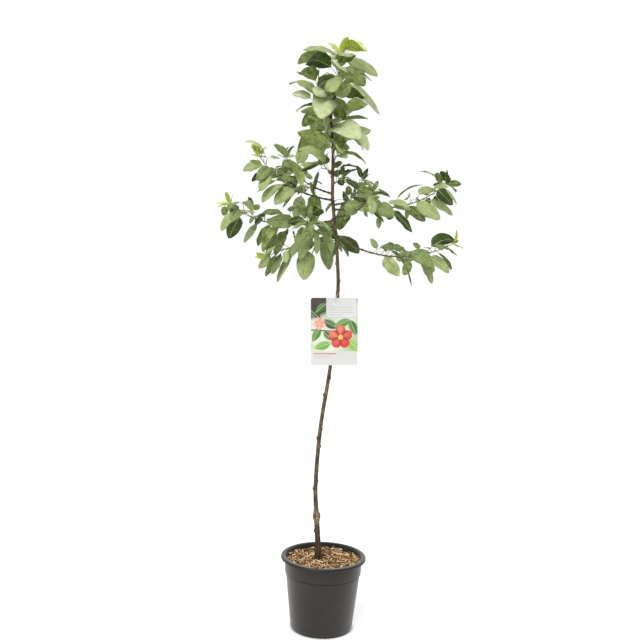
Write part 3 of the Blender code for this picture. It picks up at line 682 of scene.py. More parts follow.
def trunk_spurs():
    """The short shoots up the trunk, each a golden turn past the one below."""
    spurs = []
    for i, seed in enumerate(SPUR_SEEDS):
        share = i / (len(SPUR_SEEDS) - 1)
        height = SPUR_LOW + (SPUR_HIGH - SPUR_LOW) * share
        heading = SPUR_HEADING + GOLDEN_TURN * i
        leaf = SPUR_LEAF[0] + (SPUR_LEAF[1] - SPUR_LEAF[0]) * min(1.0, share * SPUR_GROWTH)
        place = (f"spur_{i + 1}", height, heading, 0, SPUR_PITCHES)
        spurs.append(Shoot(*place, SPUR_LENGTH, SPUR_LEAVES, leaf, seed))
    return spurs


def lay_out(space):
    """Each shoot with its coarse leafy stem and where that begins, all marked as taken."""
    count = round((TRUNK_TOP - CROWN_LOW.z) / TAKEN_STEP)
    for i in range(count + 1):
        height = CROWN_LOW.z + (TRUNK_TOP - CROWN_LOW.z) * i / count
        space.take([trunk_point(height)], trunk_radius(height) + LIMB_GAP, "trunk")
    laid = []
    for shoot in (LEADER, SIDE_SHOOT):
        start = shoot_start(shoot)
        stem = run(start, shoot, 0, 1, STEM_STEP)
        radius = trunk_radius(TRUNK_TOP) if shoot is LEADER else STEM_RADIUS
        taken = run(start, shoot, 0, TIP_FREE, TAKEN_STEP)
        space.take(taken, radius + STEM_GAP, "foliage_" + shoot.name)
        laid.append((shoot, stem, 0.0, radius))
    for shoot in BOUGHS:
        start = shoot_start(shoot)
        split = WOOD_SHARE + CLEAR / shoot.length
        stem = run(start, shoot, split, 1, STEM_STEP)
        radius = BOUGH_RADIUS + (SHOOT_TIP_RADIUS - BOUGH_RADIUS) * WOOD_SHARE
        taken = run(start, shoot, 0, WOOD_SHARE, TAKEN_STEP)
        space.take(taken, BOUGH_RADIUS + LIMB_GAP, "bough_" + shoot.name)
        taken = run(start, shoot, split, TIP_FREE, TAKEN_STEP)
        space.take(taken, SHOOT_TIP_RADIUS + LIMB_GAP, "foliage_" + shoot.name)
        laid.append((shoot, stem, split, radius))
    for shoot in trunk_spurs():
        stem = run(shoot_start(shoot), shoot, 0, 1, SPUR_LENGTH / 2)
        space.take(stem[:-1], SHOOT_TIP_RADIUS + LIMB_GAP, "foliage_" + shoot.name)
        laid.append((shoot, stem, 0.0, STEM_RADIUS))
    return laid


# Small growth that only the looks have

def young_leaf(rng, foot, stem, azimuth, spread, length, young):
    """A young leaf that still stands up beside its stem, folded along its rib."""
    radial = around(stem, azimuth)
    lean = math.radians(spread)
    out = (stem * math.cos(lean) + radial * math.sin(lean) + UP * 0.15).normalized()
    neck = foot + out * (length * rng.uniform(0.16, 0.3))
    face = stem - radial * 0.15
    face = (face - out * face.dot(out)).normalized()
    face = Matrix.Rotation(math.radians(rng.gauss(0, 18)), 3, out) @ face
    width = length * rng.uniform(0.50, 0.62)
    fold = math.radians(rng.uniform(18, 38))
    bend = rng.uniform(0.2, 0.9)
    return Leaf(foot, neck, out, face, length, width, bend, fold, young)


def small_growth(shoot, points, space):
    """(leaves, twigs) between the main ones: young leaves at the tip and short leafy twigs."""
    rng = random.Random(shoot.seed + FINE_SEED)
    owner = "foliage_" + shoot.name
    leaves, twigs = [], []
    tip, stem = spot_along(points, 1.0)
    for i in range(YOUNG_COUNT):
        length = rng.uniform(*YOUNG_LEAF) * (1.4 if shoot is LEADER else 1.0)
        spread = rng.uniform(10, 26) + 9 * i
        young = shoot.name in YOUNG_LENGTH
        leaves.append(young_leaf(rng, tip, stem, i * GOLDEN_TURN, spread, length, young))
    for node in range(shoot.leaves):
        share = (node + 0.8) / shoot.leaves
        foot, stem = spot_along(points, share)
        azimuth = rng.uniform(0, 360)
        out = (stem * 0.6 + around(stem, azimuth) + UP * 0.4).normalized()
        end = foot + out * rng.uniform(0.006, 0.018)
        few = []
        for side in (0, 140):
            length = rng.uniform(*SMALL_LEAF)
            if rng.random() > SMALL_SHARE:
                continue
            leaf = try_leaf(rng, space, owner, end, out, azimuth + side, length, length * 0.3, 0.7)
            if leaf:
                few.append(leaf)
        if few:
            leaves += few
            twigs.append((foot, end))
    return leaves, twigs


# Colours and materials

@cache
def linear(colour):
    """An sRGB hex colour as the linear red, green, blue and alpha that a shader takes."""
    shares = [int(colour[i:i + 2], 16) / 255 for i in (1, 3, 5)]
    turned = [s / 12.92 if s <= 0.04045 else ((s + 0.055) / 1.055) ** 2.4 for s in shares]
    return (*turned, 1.0)


def feed(finish, node, inputs):
    """Sets a node's inputs, or links those whose value is another node's output."""
    for name, value in inputs.items():
        if isinstance(value, bpy.types.NodeSocket):
            finish.node_tree.links.new(value, node.inputs[name])
        else:
            node.inputs[name].default_value = value


def add_node(finish, kind, inputs, output=0, stops=(), **settings):
    """Adds a node with its settings, inputs and ramp, and gives the output that others read."""
    node = finish.node_tree.nodes.new("ShaderNode" + kind)
    for name, value in settings.items():
        setattr(node, name, value)
    feed(finish, node, inputs)
    if stops:
        ramp = node.color_ramp
        while len(ramp.elements) < len(stops):
            ramp.elements.new(1.0)
        for element, (place, colour) in zip(ramp.elements, stops):
            element.position = place
            element.color = linear(colour)
    return node.outputs[output]


def base(name, **sockets):
    """A new material, as (material, its shader, its Object coordinates)."""
    finish = bpy.data.materials.new(name)
    finish.use_nodes = True
    shader = finish.node_tree.nodes["Principled BSDF"]
    feed(finish, shader, {socket.replace("_", " "): value for socket, value in sockets.items()})
    return finish, shader, add_node(finish, "TexCoord", {}, "Object")


def mottled(name, colours, size, roughness, bump=0.0, grain=0.0003, **sockets):
    """A finish of colours that drift into each other over patches of a size, with a fine grain."""
    finish, shader, place = base(name, Roughness=roughness, **sockets)
    inputs = {"Vector": place, "Scale": 1 / size, "Detail": 5.0, "Roughness": 0.6}
    patches = add_node(finish, "TexNoise", inputs)
    steps = [(0.3 + 0.4 * i / (len(colours) - 1), colour) for i, colour in enumerate(colours)]
    feed(finish, shader, {"Base Color": add_node(finish, "ValToRGB", {"Fac": patches}, stops=steps)})
    if bump:
        fine = add_node(finish, "TexNoise", {"Vector": place, "Scale": 1 / grain, "Detail": 3.0})
        relief = {"Height": fine, "Strength": bump, "Distance": grain}
        feed(finish, shader, {"Normal": add_node(finish, "Bump", relief)})
    return finish


def satin_polypropylene(colour):
    """Injection-moulded polypropylene: dark, satin and finely grained, with specks of pale dust.

    The grain is 0.4 mm here, coarser than the mould's own, so that it breaks up the highlight.
    Hands and stacking have polished the lip, which catches the light as a bright line.
    """
    gloss = {"IOR": 1.49, "Specular_IOR_Level": 0.36, "Sheen_Weight": 0.16, "Sheen_Roughness": 0.50}
    finish, shader, place = base("satin_polypropylene", **gloss)
    inputs = {"Vector": place, "Scale": 28.0, "Detail": 6.0, "Roughness": 0.62}
    cloud = add_node(finish, "TexNoise", inputs)
    greys = ((0.30, "#C4C4C4"), (0.52, "#E0E0E0"), (0.72, "#FFFFFF"))
    shade = add_node(finish, "ValToRGB", {"Fac": cloud}, stops=greys)
    inputs = {SHARE: 1.0, UNDER: colour, UPPER: shade}
    drift = add_node(finish, "Mix", inputs, MIXED, data_type="RGBA", blend_type="MULTIPLY")
    specks = add_node(finish, "TexNoise", {"Vector": place, "Scale": 900.0, "Detail": 2.0})
    dust = add_node(finish, "ValToRGB", {"Fac": specks}, stops=((0.60, "#000000"), (0.74, "#3A3A3A")))
    inputs = {SHARE: dust, UNDER: drift, UPPER: linear("#5C544A")}
    dusty = add_node(finish, "Mix", inputs, MIXED, data_type="RGBA")
    worn = add_node(finish, "MapRange", dict(zip(RANGE, (cloud, 0.3, 0.7, 0.34, 0.47))))
    height = add_node(finish, "SeparateXYZ", {"Vector": place}, "Z")
    lip = (height, POT_HEIGHT - LIP_WALL, POT_HEIGHT, 1.0, 0.55)
    polish = add_node(finish, "MapRange", dict(zip(RANGE, lip)))
    rough = add_node(finish, "Math", {0: worn, 1: polish}, operation="MULTIPLY")
    grain = add_node(finish, "TexNoise", {"Vector": place, "Scale": 2500.0, "Detail": 2.0})
    relief = add_node(finish, "Bump", {"Height": grain, "Strength": 0.10, "Distance": 0.0002})
    feed(finish, shader, {"Base Color": dusty, "Roughness": rough, "Normal": relief})
    return finish


def painted_shade_polypropylene():
    """The same plastic, painted dark and dull as shade under the lip, under the band and at the foot."""
    painted_shade_colours = ("#141210", "#1B1916")
    return mottled("painted_shade_polypropylene", painted_shade_colours, 0.01, 0.80, Specular_IOR_Level=0.10)


def smooth_young_bark(name):
    """Bark of a three-year-old whip: smooth, waxy grey over brown, with pale lenticels.

    Its colour follows the height: dark brown rootstock, paler round the graft, olive brown above.
    """
    finish, shader, place = base(name, Roughness=0.66, Specular_IOR_Level=0.30)
    height = add_node(finish, "SeparateXYZ", {"Vector": place}, "Z")
    climb = add_node(finish, "MapRange", dict(zip(RANGE, (height, *BARK_HEIGHTS, 0.0, 1.0))))
    wood = add_node(finish, "ValToRGB", {"Fac": climb}, stops=BARK_COLOURS)
    streak = add_node(finish, "Mapping", {"Vector": place, "Scale": (1.0, 1.0, 0.22)})
    inputs = {"Vector": streak, "Scale": 260.0, "Detail": 6.0, "Roughness": 0.68}
    mottle = add_node(finish, "TexNoise", inputs)
    shades = ((0.34, "#21180E"), (0.49, "#868479"), (0.63, "#F4F5E6"))
    shade = add_node(finish, "ValToRGB", {"Fac": mottle}, stops=shades)
    inputs = {SHARE: 0.85, UNDER: wood, UPPER: shade}
    mixed = add_node(finish, "Mix", inputs, MIXED, data_type="RGBA", blend_type="OVERLAY")
    pores = add_node(finish, "TexVoronoi", {"Vector": place, "Scale": 330.0, "Randomness": 1.0})
    dots = add_node(finish, "MapRange", dict(zip(RANGE, (pores, 0.20, 0.12, 0.0, 0.55))))
    inputs = {SHARE: dots, UNDER: mixed, UPPER: linear("#A79B82")}
    dotted = add_node(finish, "Mix", inputs, MIXED, data_type="RGBA")
    scar = add_node(finish, "Attribute", {}, "Fac", attribute_name="scar")
    inputs = {SHARE: scar, UNDER: dotted, UPPER: linear("#37291E")}
    scarred = add_node(finish, "Mix", inputs, MIXED, data_type="RGBA")
    relief = add_node(finish, "Bump", {"Height": mottle, "Strength": 0.55, "Distance": 0.0006})
    feed(finish, shader, {"Base Color": scarred, "Normal": relief})
    return finish


def leaf_surface(name, colours, roughness, gloss, down=0.0):
    """A leaf's skin: green that drifts over a centimetre, waxy above and downy underneath."""
    skin = {"IOR": 1.42, "Specular_IOR_Level": gloss, "Sheen_Weight": down, "Sheen_Roughness": 0.5}
    return mottled(name, colours, 0.012, roughness, 0.45, 0.0012, **skin)


def leaf_finishes():
    """The finishes of a leaf piece, in the order of its slots."""
    above = [leaf_surface(*skin) for skin in LEAF_SKINS]
    deep, downy, pale, young, rib = [leaf_surface(*skin) for skin in LEAF_UNDERSKINS]
    return above + [deep, downy, downy, pale, young, rib, rib]


def refinish(node, finish):
    """Gives a solid that stays in view its own finish."""
    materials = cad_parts[node].data.materials
    materials.clear()
    materials.append(finish)


# Shapes

def mesh_of(name, part):
    """A finished shape as a mesh, with the shape freed."""
    mesh = bpy.data.meshes.new(name)
    part.to_mesh(mesh)
    part.free()
    return mesh


def join(shape, part):
    """Adds a finished part to a shape, and frees the part."""
    mesh = mesh_of("part", part)
    shape.from_mesh(mesh)
    bpy.data.meshes.remove(mesh)


def add_object(name, data):
    """A new object in the scene."""
    made = bpy.data.objects.new(name, data)
    bpy.context.scene.collection.objects.link(made)
    return made


def make_piece(name, shape, finishes, replaced, smooth=True):
    """Makes a piece of a shape: its finishes, its place on the tree and what it stands for."""
    mesh = mesh_of(name, shape)
    for finish in finishes:
        mesh.materials.append(finish)
    if smooth:
        mesh.shade_smooth()
    piece = add_object(name, mesh)
    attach(piece, "root")
    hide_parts(*replaced)
    return piece


def thicken(sheet, thickness, back):
    """Makes a sheet solid behind its face, the back in the slots that come so much later."""
    solid = sheet.modifiers.new("sheet", "SOLIDIFY")
    solid.thickness = thickness
    solid.offset = -1
    solid.material_offset = back


def turned_grid(columns, rows):
    """A flat grid and the column and row of each of its vertices."""
    part = bmesh.new()
    bmesh.ops.create_grid(part, x_segments=columns, y_segments=rows, size=1)
    places = np.array([vert.co[:2] for vert in part.verts])
    column = np.rint((places[:, 0] + 1) / 2 * columns).astype(int)
    row = np.rint((places[:, 1] + 1) / 2 * rows).astype(int)
    return part, column, row


def place_verts(part, places):
    """Moves a shape's vertices to places."""
    for vert, place in zip(part.verts, places):
        vert.co = place


def frames_along(points):
    """(points, sides, tops): square directions at each point, carried along without a twist."""
    way = np.array(points)
    ahead = np.gradient(way, axis=0)
    ahead /= np.linalg.norm(ahead, axis=1)[:, None]
    helper = Vector((1, 0, 0)) if abs(ahead[0][0]) < 0.8 else Vector((0, 1, 0))
    side = Vector(ahead[0]).cross(helper).normalized()
    sides = []
    for direction in ahead:
        direction = Vector(direction)
        side = (side - direction * side.dot(direction)).normalized()
        sides.append(side)
    sides = np.array(sides)
    return way, sides, np.cross(ahead, sides)


def tube(points, radii, sides, finish=0, relief=None, level=False):
    """A closed tube along points: a grid rolled round them, its ends drawn together.

    relief(ring, angle) gives how far the skin stands out at each vertex. The rings of a level
    tube stay level, so that an angle round it is a heading.
    """
    way, first, second = frames_along(points)
    rings = len(points)
    if level:
        first, second = (np.tile(axis, (rings, 1)) for axis in ((1, 0, 0), (0, 1, 0)))
    part, column, row = turned_grid(sides, rings + 1)
    ring = np.clip(row - 1, 0, rings - 1)
    angle = 2 * math.pi * (column % sides) / sides
    reach = np.array(radii)[ring]
    if relief is not None:
        reach = reach + relief(ring, angle)
    reach = np.where((row == 0) | (row == rings + 1), 0.0, reach)
    out = first[ring] * np.cos(angle)[:, None] + second[ring] * np.sin(angle)[:, None]
    place_verts(part, way[ring] + out * reach[:, None])
    bmesh.ops.remove_doubles(part, verts=part.verts, dist=1e-7)
    for face in part.faces:
        face.material_index = finish
    return part


def bump_noise(way, ring, angle, around_scale, along_scale, seed):
    """Noise from -1 to 1 on a tube's skin, with its own scale round it and along it."""
    found = np.empty(len(ring))
    for i, (level, turn) in enumerate(zip(ring, angle)):
        x, y = math.cos(turn) * around_scale, math.sin(turn) * around_scale
        found[i] = noise.noise(Vector((x + seed, y, way[level] * along_scale)))
    return found


# Pot

def pot_profile():
    """(radius, height) round the pot's wall: down its outer side, then up its inner side."""
    lip = []
    for step in range(LIP_STEPS + 1):
        angle = math.radians(90 * (1 - step / LIP_STEPS))
        radius = RIM_RADIUS - LIP_ROUND + LIP_ROUND * math.cos(angle)
        lip.append((radius, POT_HEIGHT - LIP_ROUND + LIP_ROUND * math.sin(angle)))
    skirt = RIM_RADIUS - LIP_WALL
    under_lip = POT_HEIGHT - LIP_WALL
    outer = [
        (RIM_RADIUS, POT_HEIGHT - LIP_DEPTH + 0.0004),
        (RIM_RADIUS - 0.0004, POT_HEIGHT - LIP_DEPTH),
        (skirt, POT_HEIGHT - LIP_DEPTH),
        (skirt, under_lip - LIP_ROUND * 0.3),
        (BAND_TOP_RADIUS + 0.0012, under_lip - 0.0004),
        (BAND_TOP_RADIUS, under_lip - 0.0022),
        (BAND_TOP_RADIUS - 0.0002, under_lip - 0.0072),
        (BAND_FOOT_RADIUS, BAND_FOOT + 0.0006),
        (BAND_FOOT_RADIUS - 0.0005, BAND_FOOT),
        (BODY_TOP_RADIUS + 0.0006, BAND_FOOT - BAND_SHELF * 0.6),
        (BODY_TOP_RADIUS, BAND_FOOT - BAND_SHELF * 0.95),
        (BODY_FOOT_RADIUS, FOOT_ROUND),
    ]
    foot = []
    for step in range(1, FOOT_STEPS + 1):
        angle = math.radians(90 * step / FOOT_STEPS)
        radius = FOOT_RADIUS + (BODY_FOOT_RADIUS - FOOT_RADIUS) * math.cos(angle)
        foot.append((radius, FOOT_ROUND * (1 - math.sin(angle))))
    inner = [
        (0, 0),
        (0, POT_FLOOR),
        (FOOT_RADIUS - POT_WALL, POT_FLOOR),
        (BODY_FOOT_RADIUS - POT_WALL, FOOT_ROUND),
        (BODY_TOP_RADIUS - POT_WALL, BAND_FOOT),
        (BAND_FOOT_RADIUS - POT_WALL, BAND_FOOT + BAND_SHELF),
        (BAND_TOP_RADIUS - POT_WALL, POT_HEIGHT - 0.0016),
        (BAND_TOP_RADIUS - POT_WALL + 0.0005, POT_HEIGHT - 0.0004),
        (BAND_TOP_RADIUS - POT_WALL + 0.0015, POT_HEIGHT),
    ]
    return lip + outer + foot + inner


def spun(profile, sides):
    """A closed profile of (radius, height) spun once round the Z axis."""
    part = bmesh.new()
    verts = [part.verts.new((radius, 0, height)) for radius, height in profile]
    for i, vert in enumerate(verts):
        after = verts[(i + 1) % len(verts)]
        if vert.co.x or after.co.x:
            part.edges.new((vert, after))
    bmesh.ops.spin(
        part,
        geom=part.verts[:] + part.edges[:],
        cent=(0, 0, 0),
        axis=(0, 0, 1),
        angle=2 * math.pi,
        steps=sides,
        use_merge=True,
    )
    bmesh.ops.remove_doubles(part, verts=part.verts, dist=1e-6)
    bmesh.ops.recalc_face_normals(part, faces=part.faces)
    return part


def cutter_object(part):
    """A hidden object to cut with."""
    cutter = add_object("cutter", mesh_of("cutter", part))
    cutter.hide_render = True
    cutter.display_type = "WIRE"
    return cutter


def pot_cutters():
    """The pairs of drainage slots under the pot's foot, and the holes between them."""
    cutters = []
    size = (RIM_RADIUS - SLOT_START, SLOT_WIDTH, SLOT_HEIGHT * 2)
    middle = (RIM_RADIUS + SLOT_START) / 2
    for drain in range(DRAINS):
        turn = Matrix.Rotation(math.radians(360 / DRAINS * drain), 4, "Z")
        for side in (-1, 1):
            place = Matrix.Translation((middle, side * (SLOT_WIDTH + SLOT_RIB) / 2, 0))
            part = bmesh.new()
            bmesh.ops.create_cube(part, size=1, matrix=turn @ place @ Matrix.Diagonal((*size, 1)))
            cutters.append(cutter_object(part))
        heading = 360 / DRAINS * (drain + 0.5)
        part = bmesh.new()
        bmesh.ops.create_cone(
            part,
            cap_ends=True,
            segments=24,
            radius1=DRAIN_RADIUS,
            radius2=DRAIN_RADIUS,
            depth=POT_FLOOR * 4,
            matrix=Matrix.Translation(bearing(heading, 0) * DRAIN_RING),
        )
        cutters.append(cutter_object(part))
    return cutters


def cut(piece, cutters):
    """Takes cutters out of a piece for good, and removes them."""
    for cutter in cutters:
        difference = piece.modifiers.new("cut", "BOOLEAN")
        difference.operation = "DIFFERENCE"
        difference.object = cutter
        difference.solver = "MANIFOLD"
    bpy.context.view_layer.update()
    graph = bpy.context.evaluated_depsgraph_get()
    mesh = bpy.data.meshes.new_from_object(piece.evaluated_get(graph))
    piece.modifiers.clear()
    piece.data = mesh
    for cutter in cutters:
        bpy.data.objects.remove(cutter)


# Filling

def inner_radius(height):
    """The radius of the pot's inner wall at a height."""
    wall = (
        (BAND_FOOT, BODY_TOP_RADIUS - POT_WALL),
        (BAND_FOOT + BAND_SHELF, BAND_FOOT_RADIUS - POT_WALL),
        (POT_HEIGHT, BAND_TOP_RADIUS - POT_WALL),
    )
    return straight_between(wall, height)


def mulch_height(x, y):
    """The height of the chips' bed: bumpy, higher at the wall and hollow round the trunk."""
    heart = trunk_point(MULCH_TOP)
    near = math.hypot(x - heart.x, y - heart.y)
    hollow = BED_HOLLOW * math.exp(-((near / HOLLOW_REACH) ** 2))
    swell = noise.noise(Vector((x * 32, y * 32, 4.0))) * BED_BUMP * 1.5
    lumps = noise.noise(Vector((x * 130, y * 130, 9.0))) * BED_BUMP
    edge = 0.0012 * (math.hypot(x, y) / BAND_FOOT_RADIUS) ** 6
    return MULCH_TOP - BED_DROP - hollow + swell + lumps + edge


def chip_template():
    """A small flat bar in four lengths, to bend and taper."""
    part = bmesh.new()
    bmesh.ops.create_cube(part, size=1)
    long_edges = [e for e in part.edges if abs(e.verts[0].co.x - e.verts[1].co.x) > 0.5]
    bmesh.ops.subdivide_edges(part, edges=long_edges, cuts=3)
    mesh = mesh_of("chip", part)
    corners = np.empty(len(mesh.vertices) * 3)
    mesh.vertices.foreach_get("co", corners)
    return mesh, corners.reshape(-1, 3)


def bent_chip(rng, corners, length, width, thickness):
    """The corners of one chip: split to a point at its ends, bent and twisted."""
    along, across, above = corners.T
    narrow = 1 - rng.uniform(0.2, 0.75) * np.abs(2 * along) ** rng.uniform(1.2, 3.0)
    shift = rng.uniform(-0.25, 0.25) * along
    side = (across * narrow + shift) * width
    rise = above * thickness + rng.uniform(-0.12, 0.2) * length * (4 * along**2 - 1) * 0.5
    twist = rng.uniform(-0.8, 0.8) * along
    turned_side = side * np.cos(twist) - rise * np.sin(twist)
    turned_rise = side * np.sin(twist) + rise * np.cos(twist)
    sweep = rng.uniform(-0.15, 0.15) * length * (4 * along**2 - 1)
    return np.column_stack([along * length, turned_side + sweep, turned_rise])


def chip_place(rng):
    """A place on the bed: (x, y), even over the disc."""
    reach = math.sqrt(rng.random()) * (inner_radius(MULCH_TOP) - CHIP_INSET)
    turn = rng.uniform(0, 2 * math.pi)
    return reach * math.cos(turn), reach * math.sin(turn)


def chips_fit(places):
    """Whether a chip lies inside the pot's wall and clear of the trunk."""
    reach = np.hypot(places[:, 0], places[:, 1])
    if reach.max() > inner_radius(MULCH_TOP) - WALL_GAP:
        return False
    heart = trunk_point(MULCH_TOP)
    near = np.hypot(places[:, 0] - heart.x, places[:, 1] - heart.y)
    return near.min() > HEART_GAP


def scatter_chips(count, finishes):
    """The loose chips, most lying flat and a few standing up, dealt out in their finishes."""
    rng = random.Random(CHIP_SEED)
    shape = bmesh.new()
    mesh, corners = chip_template()
    made = 0
    while made < count:
        x, y = chip_place(rng)
        length = rng.uniform(*CHIP_LENGTH) * rng.uniform(0.6, 1.0)
        width, thickness = rng.uniform(*CHIP_WIDTH), rng.uniform(*CHIP_THICKNESS)
        chip = bent_chip(rng, corners, length, width, thickness)
        steep = rng.random() < STEEP_CHIPS
        pitch = rng.gauss(0, STEEP_PITCH if steep else FLAT_PITCH)
        turn = Matrix.Rotation(rng.uniform(0, 2 * math.pi), 3, "Z")
        tilt = Matrix.Rotation(pitch, 3, "Y") @ Matrix.Rotation(rng.gauss(0, CHIP_ROLL), 3, "X")
        lift = mulch_height(x, y) + BED_DROP + rng.uniform(*CHIP_LIFT)
        places = chip @ np.array(turn @ tilt).T + np.array((x, y, lift))
        if not chips_fit(places):
            continue
        mesh.vertices.foreach_set("co", places.ravel())
        rosy = 0.5 + 2.2 * x
        weights = (0.25, 0.26 - 0.05 * rosy, 0.23 + 0.08 * rosy, 0.26)
        finish = rng.choices(range(finishes), weights)[0]
        mesh.polygons.foreach_set("material_index", [finish] * len(mesh.polygons))
        shape.from_mesh(mesh)
        made += 1
    bpy.data.meshes.remove(mesh)
    return shape


def bed_profile():
    """(radius, height) of the bed under the chips: its top in rings, then its side and foot."""
    radius = inner_radius(MULCH_TOP) - 0.0004
    top = MULCH_TOP - BED_DROP
    profile = [(radius * i / BED_RINGS, top) for i in range(BED_RINGS + 1)]
    return profile + [(inner_radius(MIX_TOP) - WALL_GAP, MIX_TOP + CLEAR), (0, MIX_TOP + CLEAR)]


# Trunk and boughs

def off_heading(angle, heading):
    """How far an angle is turned from a heading, from -pi to pi."""
    return (angle - math.radians(heading) + math.pi) % (2 * math.pi) - math.pi


def stud(way_heights, ring, angle, height, heading, rise, spread, radius):
    """A round knob on a trunk's skin: how far each vertex stands out for it, 0 to rise."""
    aside = np.abs(off_heading(angle, heading)) * radius
    apart = np.hypot(aside, way_heights[ring] - height)
    return rise * np.minimum(1.0, 1.5 * np.exp(-((apart / spread) ** 2)))


def slot_height(angle):
    """The height of the graft's slanting slot at an angle round the trunk."""
    return GRAFT_HEIGHT + SLOT_SLANT * np.cos(angle - math.radians(SLOT_HEADING))


def trunk_relief(heights, branch_points, relief_depth):
    """The relief of the trunk's bark, as a function of ring and angle."""
    heights = np.array(heights)
    wide, tall = LENTICEL_HALF
    rng = random.Random(LENTICEL_SEED)
    pores = []
    for _ in range(LENTICELS):
        pores.append((rng.uniform(TRUNK_FOOT + 0.02, TRUNK_TOP), rng.uniform(0, 360)))

    def relief(ring, angle):
        radius = np.array([trunk_radius(h) for h in heights])[ring]
        out = bump_noise(heights, ring, angle, 2.6, 26, 0.0) * relief_depth
        out += bump_noise(heights, ring, angle, 6.0, 150, 3.0) * relief_depth * 0.45
        out += bump_noise(heights, ring, angle, 9.0, 420, 7.0) * relief_depth * 0.30
        for height, heading, rise in KNOBS:
            out += stud(heights, ring, angle, height, heading, rise, KNOB_SPREAD, radius)
        for height, heading in branch_points:
            out += stud(heights, ring, angle, height, heading, COLLAR_RISE, COLLAR_SPREAD, radius)
        for height, heading in pores:
            aside = np.abs(off_heading(angle, heading))
            lips = (aside * radius / wide) ** 2 + ((heights[ring] - height) / tall) ** 2
            out += LENTICEL_RISE * np.exp(-lips)
        near_graft = np.exp(-(((heights[ring] - GRAFT_HEIGHT) / UNION_SPREAD) ** 2))
        out += bump_noise(heights, ring, angle, 3.0, 210, 11.0) * UNION_RISE * near_graft
        out -= SLOT_DEPTH * np.exp(-(((heights[ring] - slot_height(angle)) / SLOT_HALF) ** 2))
        flare = np.exp(-(heights[ring] - TRUNK_FOOT) / FLARE_FALL)
        out += FLARE_RISE * flare * np.cos(4 * angle + 0.7)
        return out

    return relief


def scar_shares(part):
    """How dark each vertex of the trunk is: the cut faces of knobs and the graft's slot."""
    shares = []
    for vert in part.verts:
        off = vert.co - trunk_point(vert.co.z)
        angle = math.atan2(off.y, off.x)
        reach = math.hypot(off.x, off.y)
        dark = SLOT_DARK * math.exp(-(((vert.co.z - slot_height(angle)) / SLOT_SPREAD) ** 2))
        for height, heading, _ in KNOBS:
            apart = math.hypot(off_heading(angle, heading) * reach, vert.co.z - height)
            dark = max(dark, CUT_DARK * min(1.0, 1.8 * math.exp(-((apart / CUT_SPREAD) ** 2))))
        shares.append(dark)
    return shares


def limb_relief(way, seed, depth):
    """The relief of a thin limb's bark, as a function of ring and angle."""

    def relief(ring, angle):
        out = bump_noise(way, ring, angle, 1.6, 60, seed) * depth
        return out + bump_noise(way, ring, angle, 3.4, 300, seed + 5) * depth * 0.5

    return relief


def swelled(radii, shares, nodes, length):
    """Radii with a swelling at each node."""
    found = []
    for radius, share in zip(radii, shares):
        swell = sum(math.exp(-(((share - node) * length / NODE_SPREAD) ** 2)) for node in nodes)
        found.append(radius * (1 + NODE_SWELL * min(1.0, swell)))
    return found


def bough_tube(shoot):
    """A bough: a knobbly taper from its collar on the trunk to where its leaves begin."""
    points = run(shoot_start(shoot), shoot, 0, WOOD_SHARE + 0.012, FINE_STEP)
    inward = trunk_point(shoot.height) - points[0]
    inward.z = 0
    points.insert(0, points[0] + inward * 0.7)
    count = len(points)
    shares = [i / (count - 1) for i in range(count)]
    last = BOUGH_RADIUS + (SHOOT_TIP_RADIUS - BOUGH_RADIUS) * WOOD_SHARE
    length = shoot.length * WOOD_SHARE
    radii = []
    for share in shares:
        collar = 1 + COLLAR_SWELL * math.exp(-share * length / COLLAR_FALL)
        radii.append((BOUGH_RADIUS + (last - BOUGH_RADIUS) * share) * collar)
    radii = swelled(radii, shares, BOUGH_NODES, length)
    relief = limb_relief(np.array(shares) * length, shoot.seed, 0.00022)
    return tube(points, radii, BOUGH_SIDES, 0, relief)


# Foliage

def leaf_rows(veins, fine, tips):
    """(share along, sweep of a vein's edge, notched) for each row of a leaf, from neck to tip."""
    first, step = 0.45 / (veins + 1), 0.80 / (veins + 0.5)
    rows = [(0.0, 0.0, False), (first * 0.4, 0.0, True)]
    for vein in range(veins):
        centre = first + step * vein
        rows += [(centre, -VEIN_HALF, False), (centre, VEIN_HALF, False)]
        for i in range(fine):
            rows.append((centre + step * (i + 1) / (fine + 1), 0.0, i % 2 == 0))
    start = first + step * veins
    rows += [(start + (1 - start) * tip, 0.0, i % 2 == 1) for i, tip in enumerate(tips)]
    return rows, first, step


def leaf_pattern(name, veins, fine, columns, tips):
    """A flat leaf of rows and columns, whose faces on the midrib and the veins are ribs."""
    rows, first, step = leaf_rows(veins, fine, tips)
    halves = [-c for c in reversed(columns)] + list(columns)
    part, column, row = turned_grid(len(halves) - 1, len(rows) - 1)
    across = np.array(halves)[column]
    along = np.array([r[0] for r in rows])[row]
    edge = np.array([r[1] for r in rows])[row]
    along = along + edge * (1 - VEIN_TAPER * np.abs(across))
    phase = ((along - first) / step) % 1.0
    raised = np.sin(math.pi * phase) ** 0.8
    raised[along < first] *= 0.4
    notched = np.array([r[2] for r in rows])[row] * (np.abs(across) > 0.99)
    ribs = []
    for face in part.faces:
        low = min(row[v.index] for v in face.verts)
        spread = max(abs(across[v.index]) for v in face.verts)
        on_vein = rows[low][1] < 0 and spread < VEIN_REACH
        ribs.append(2 if spread <= MIDRIB_HALF + 1e-6 else int(on_vein))
    return Pattern(mesh_of(name, part), along, across, raised, notched, np.array(ribs))


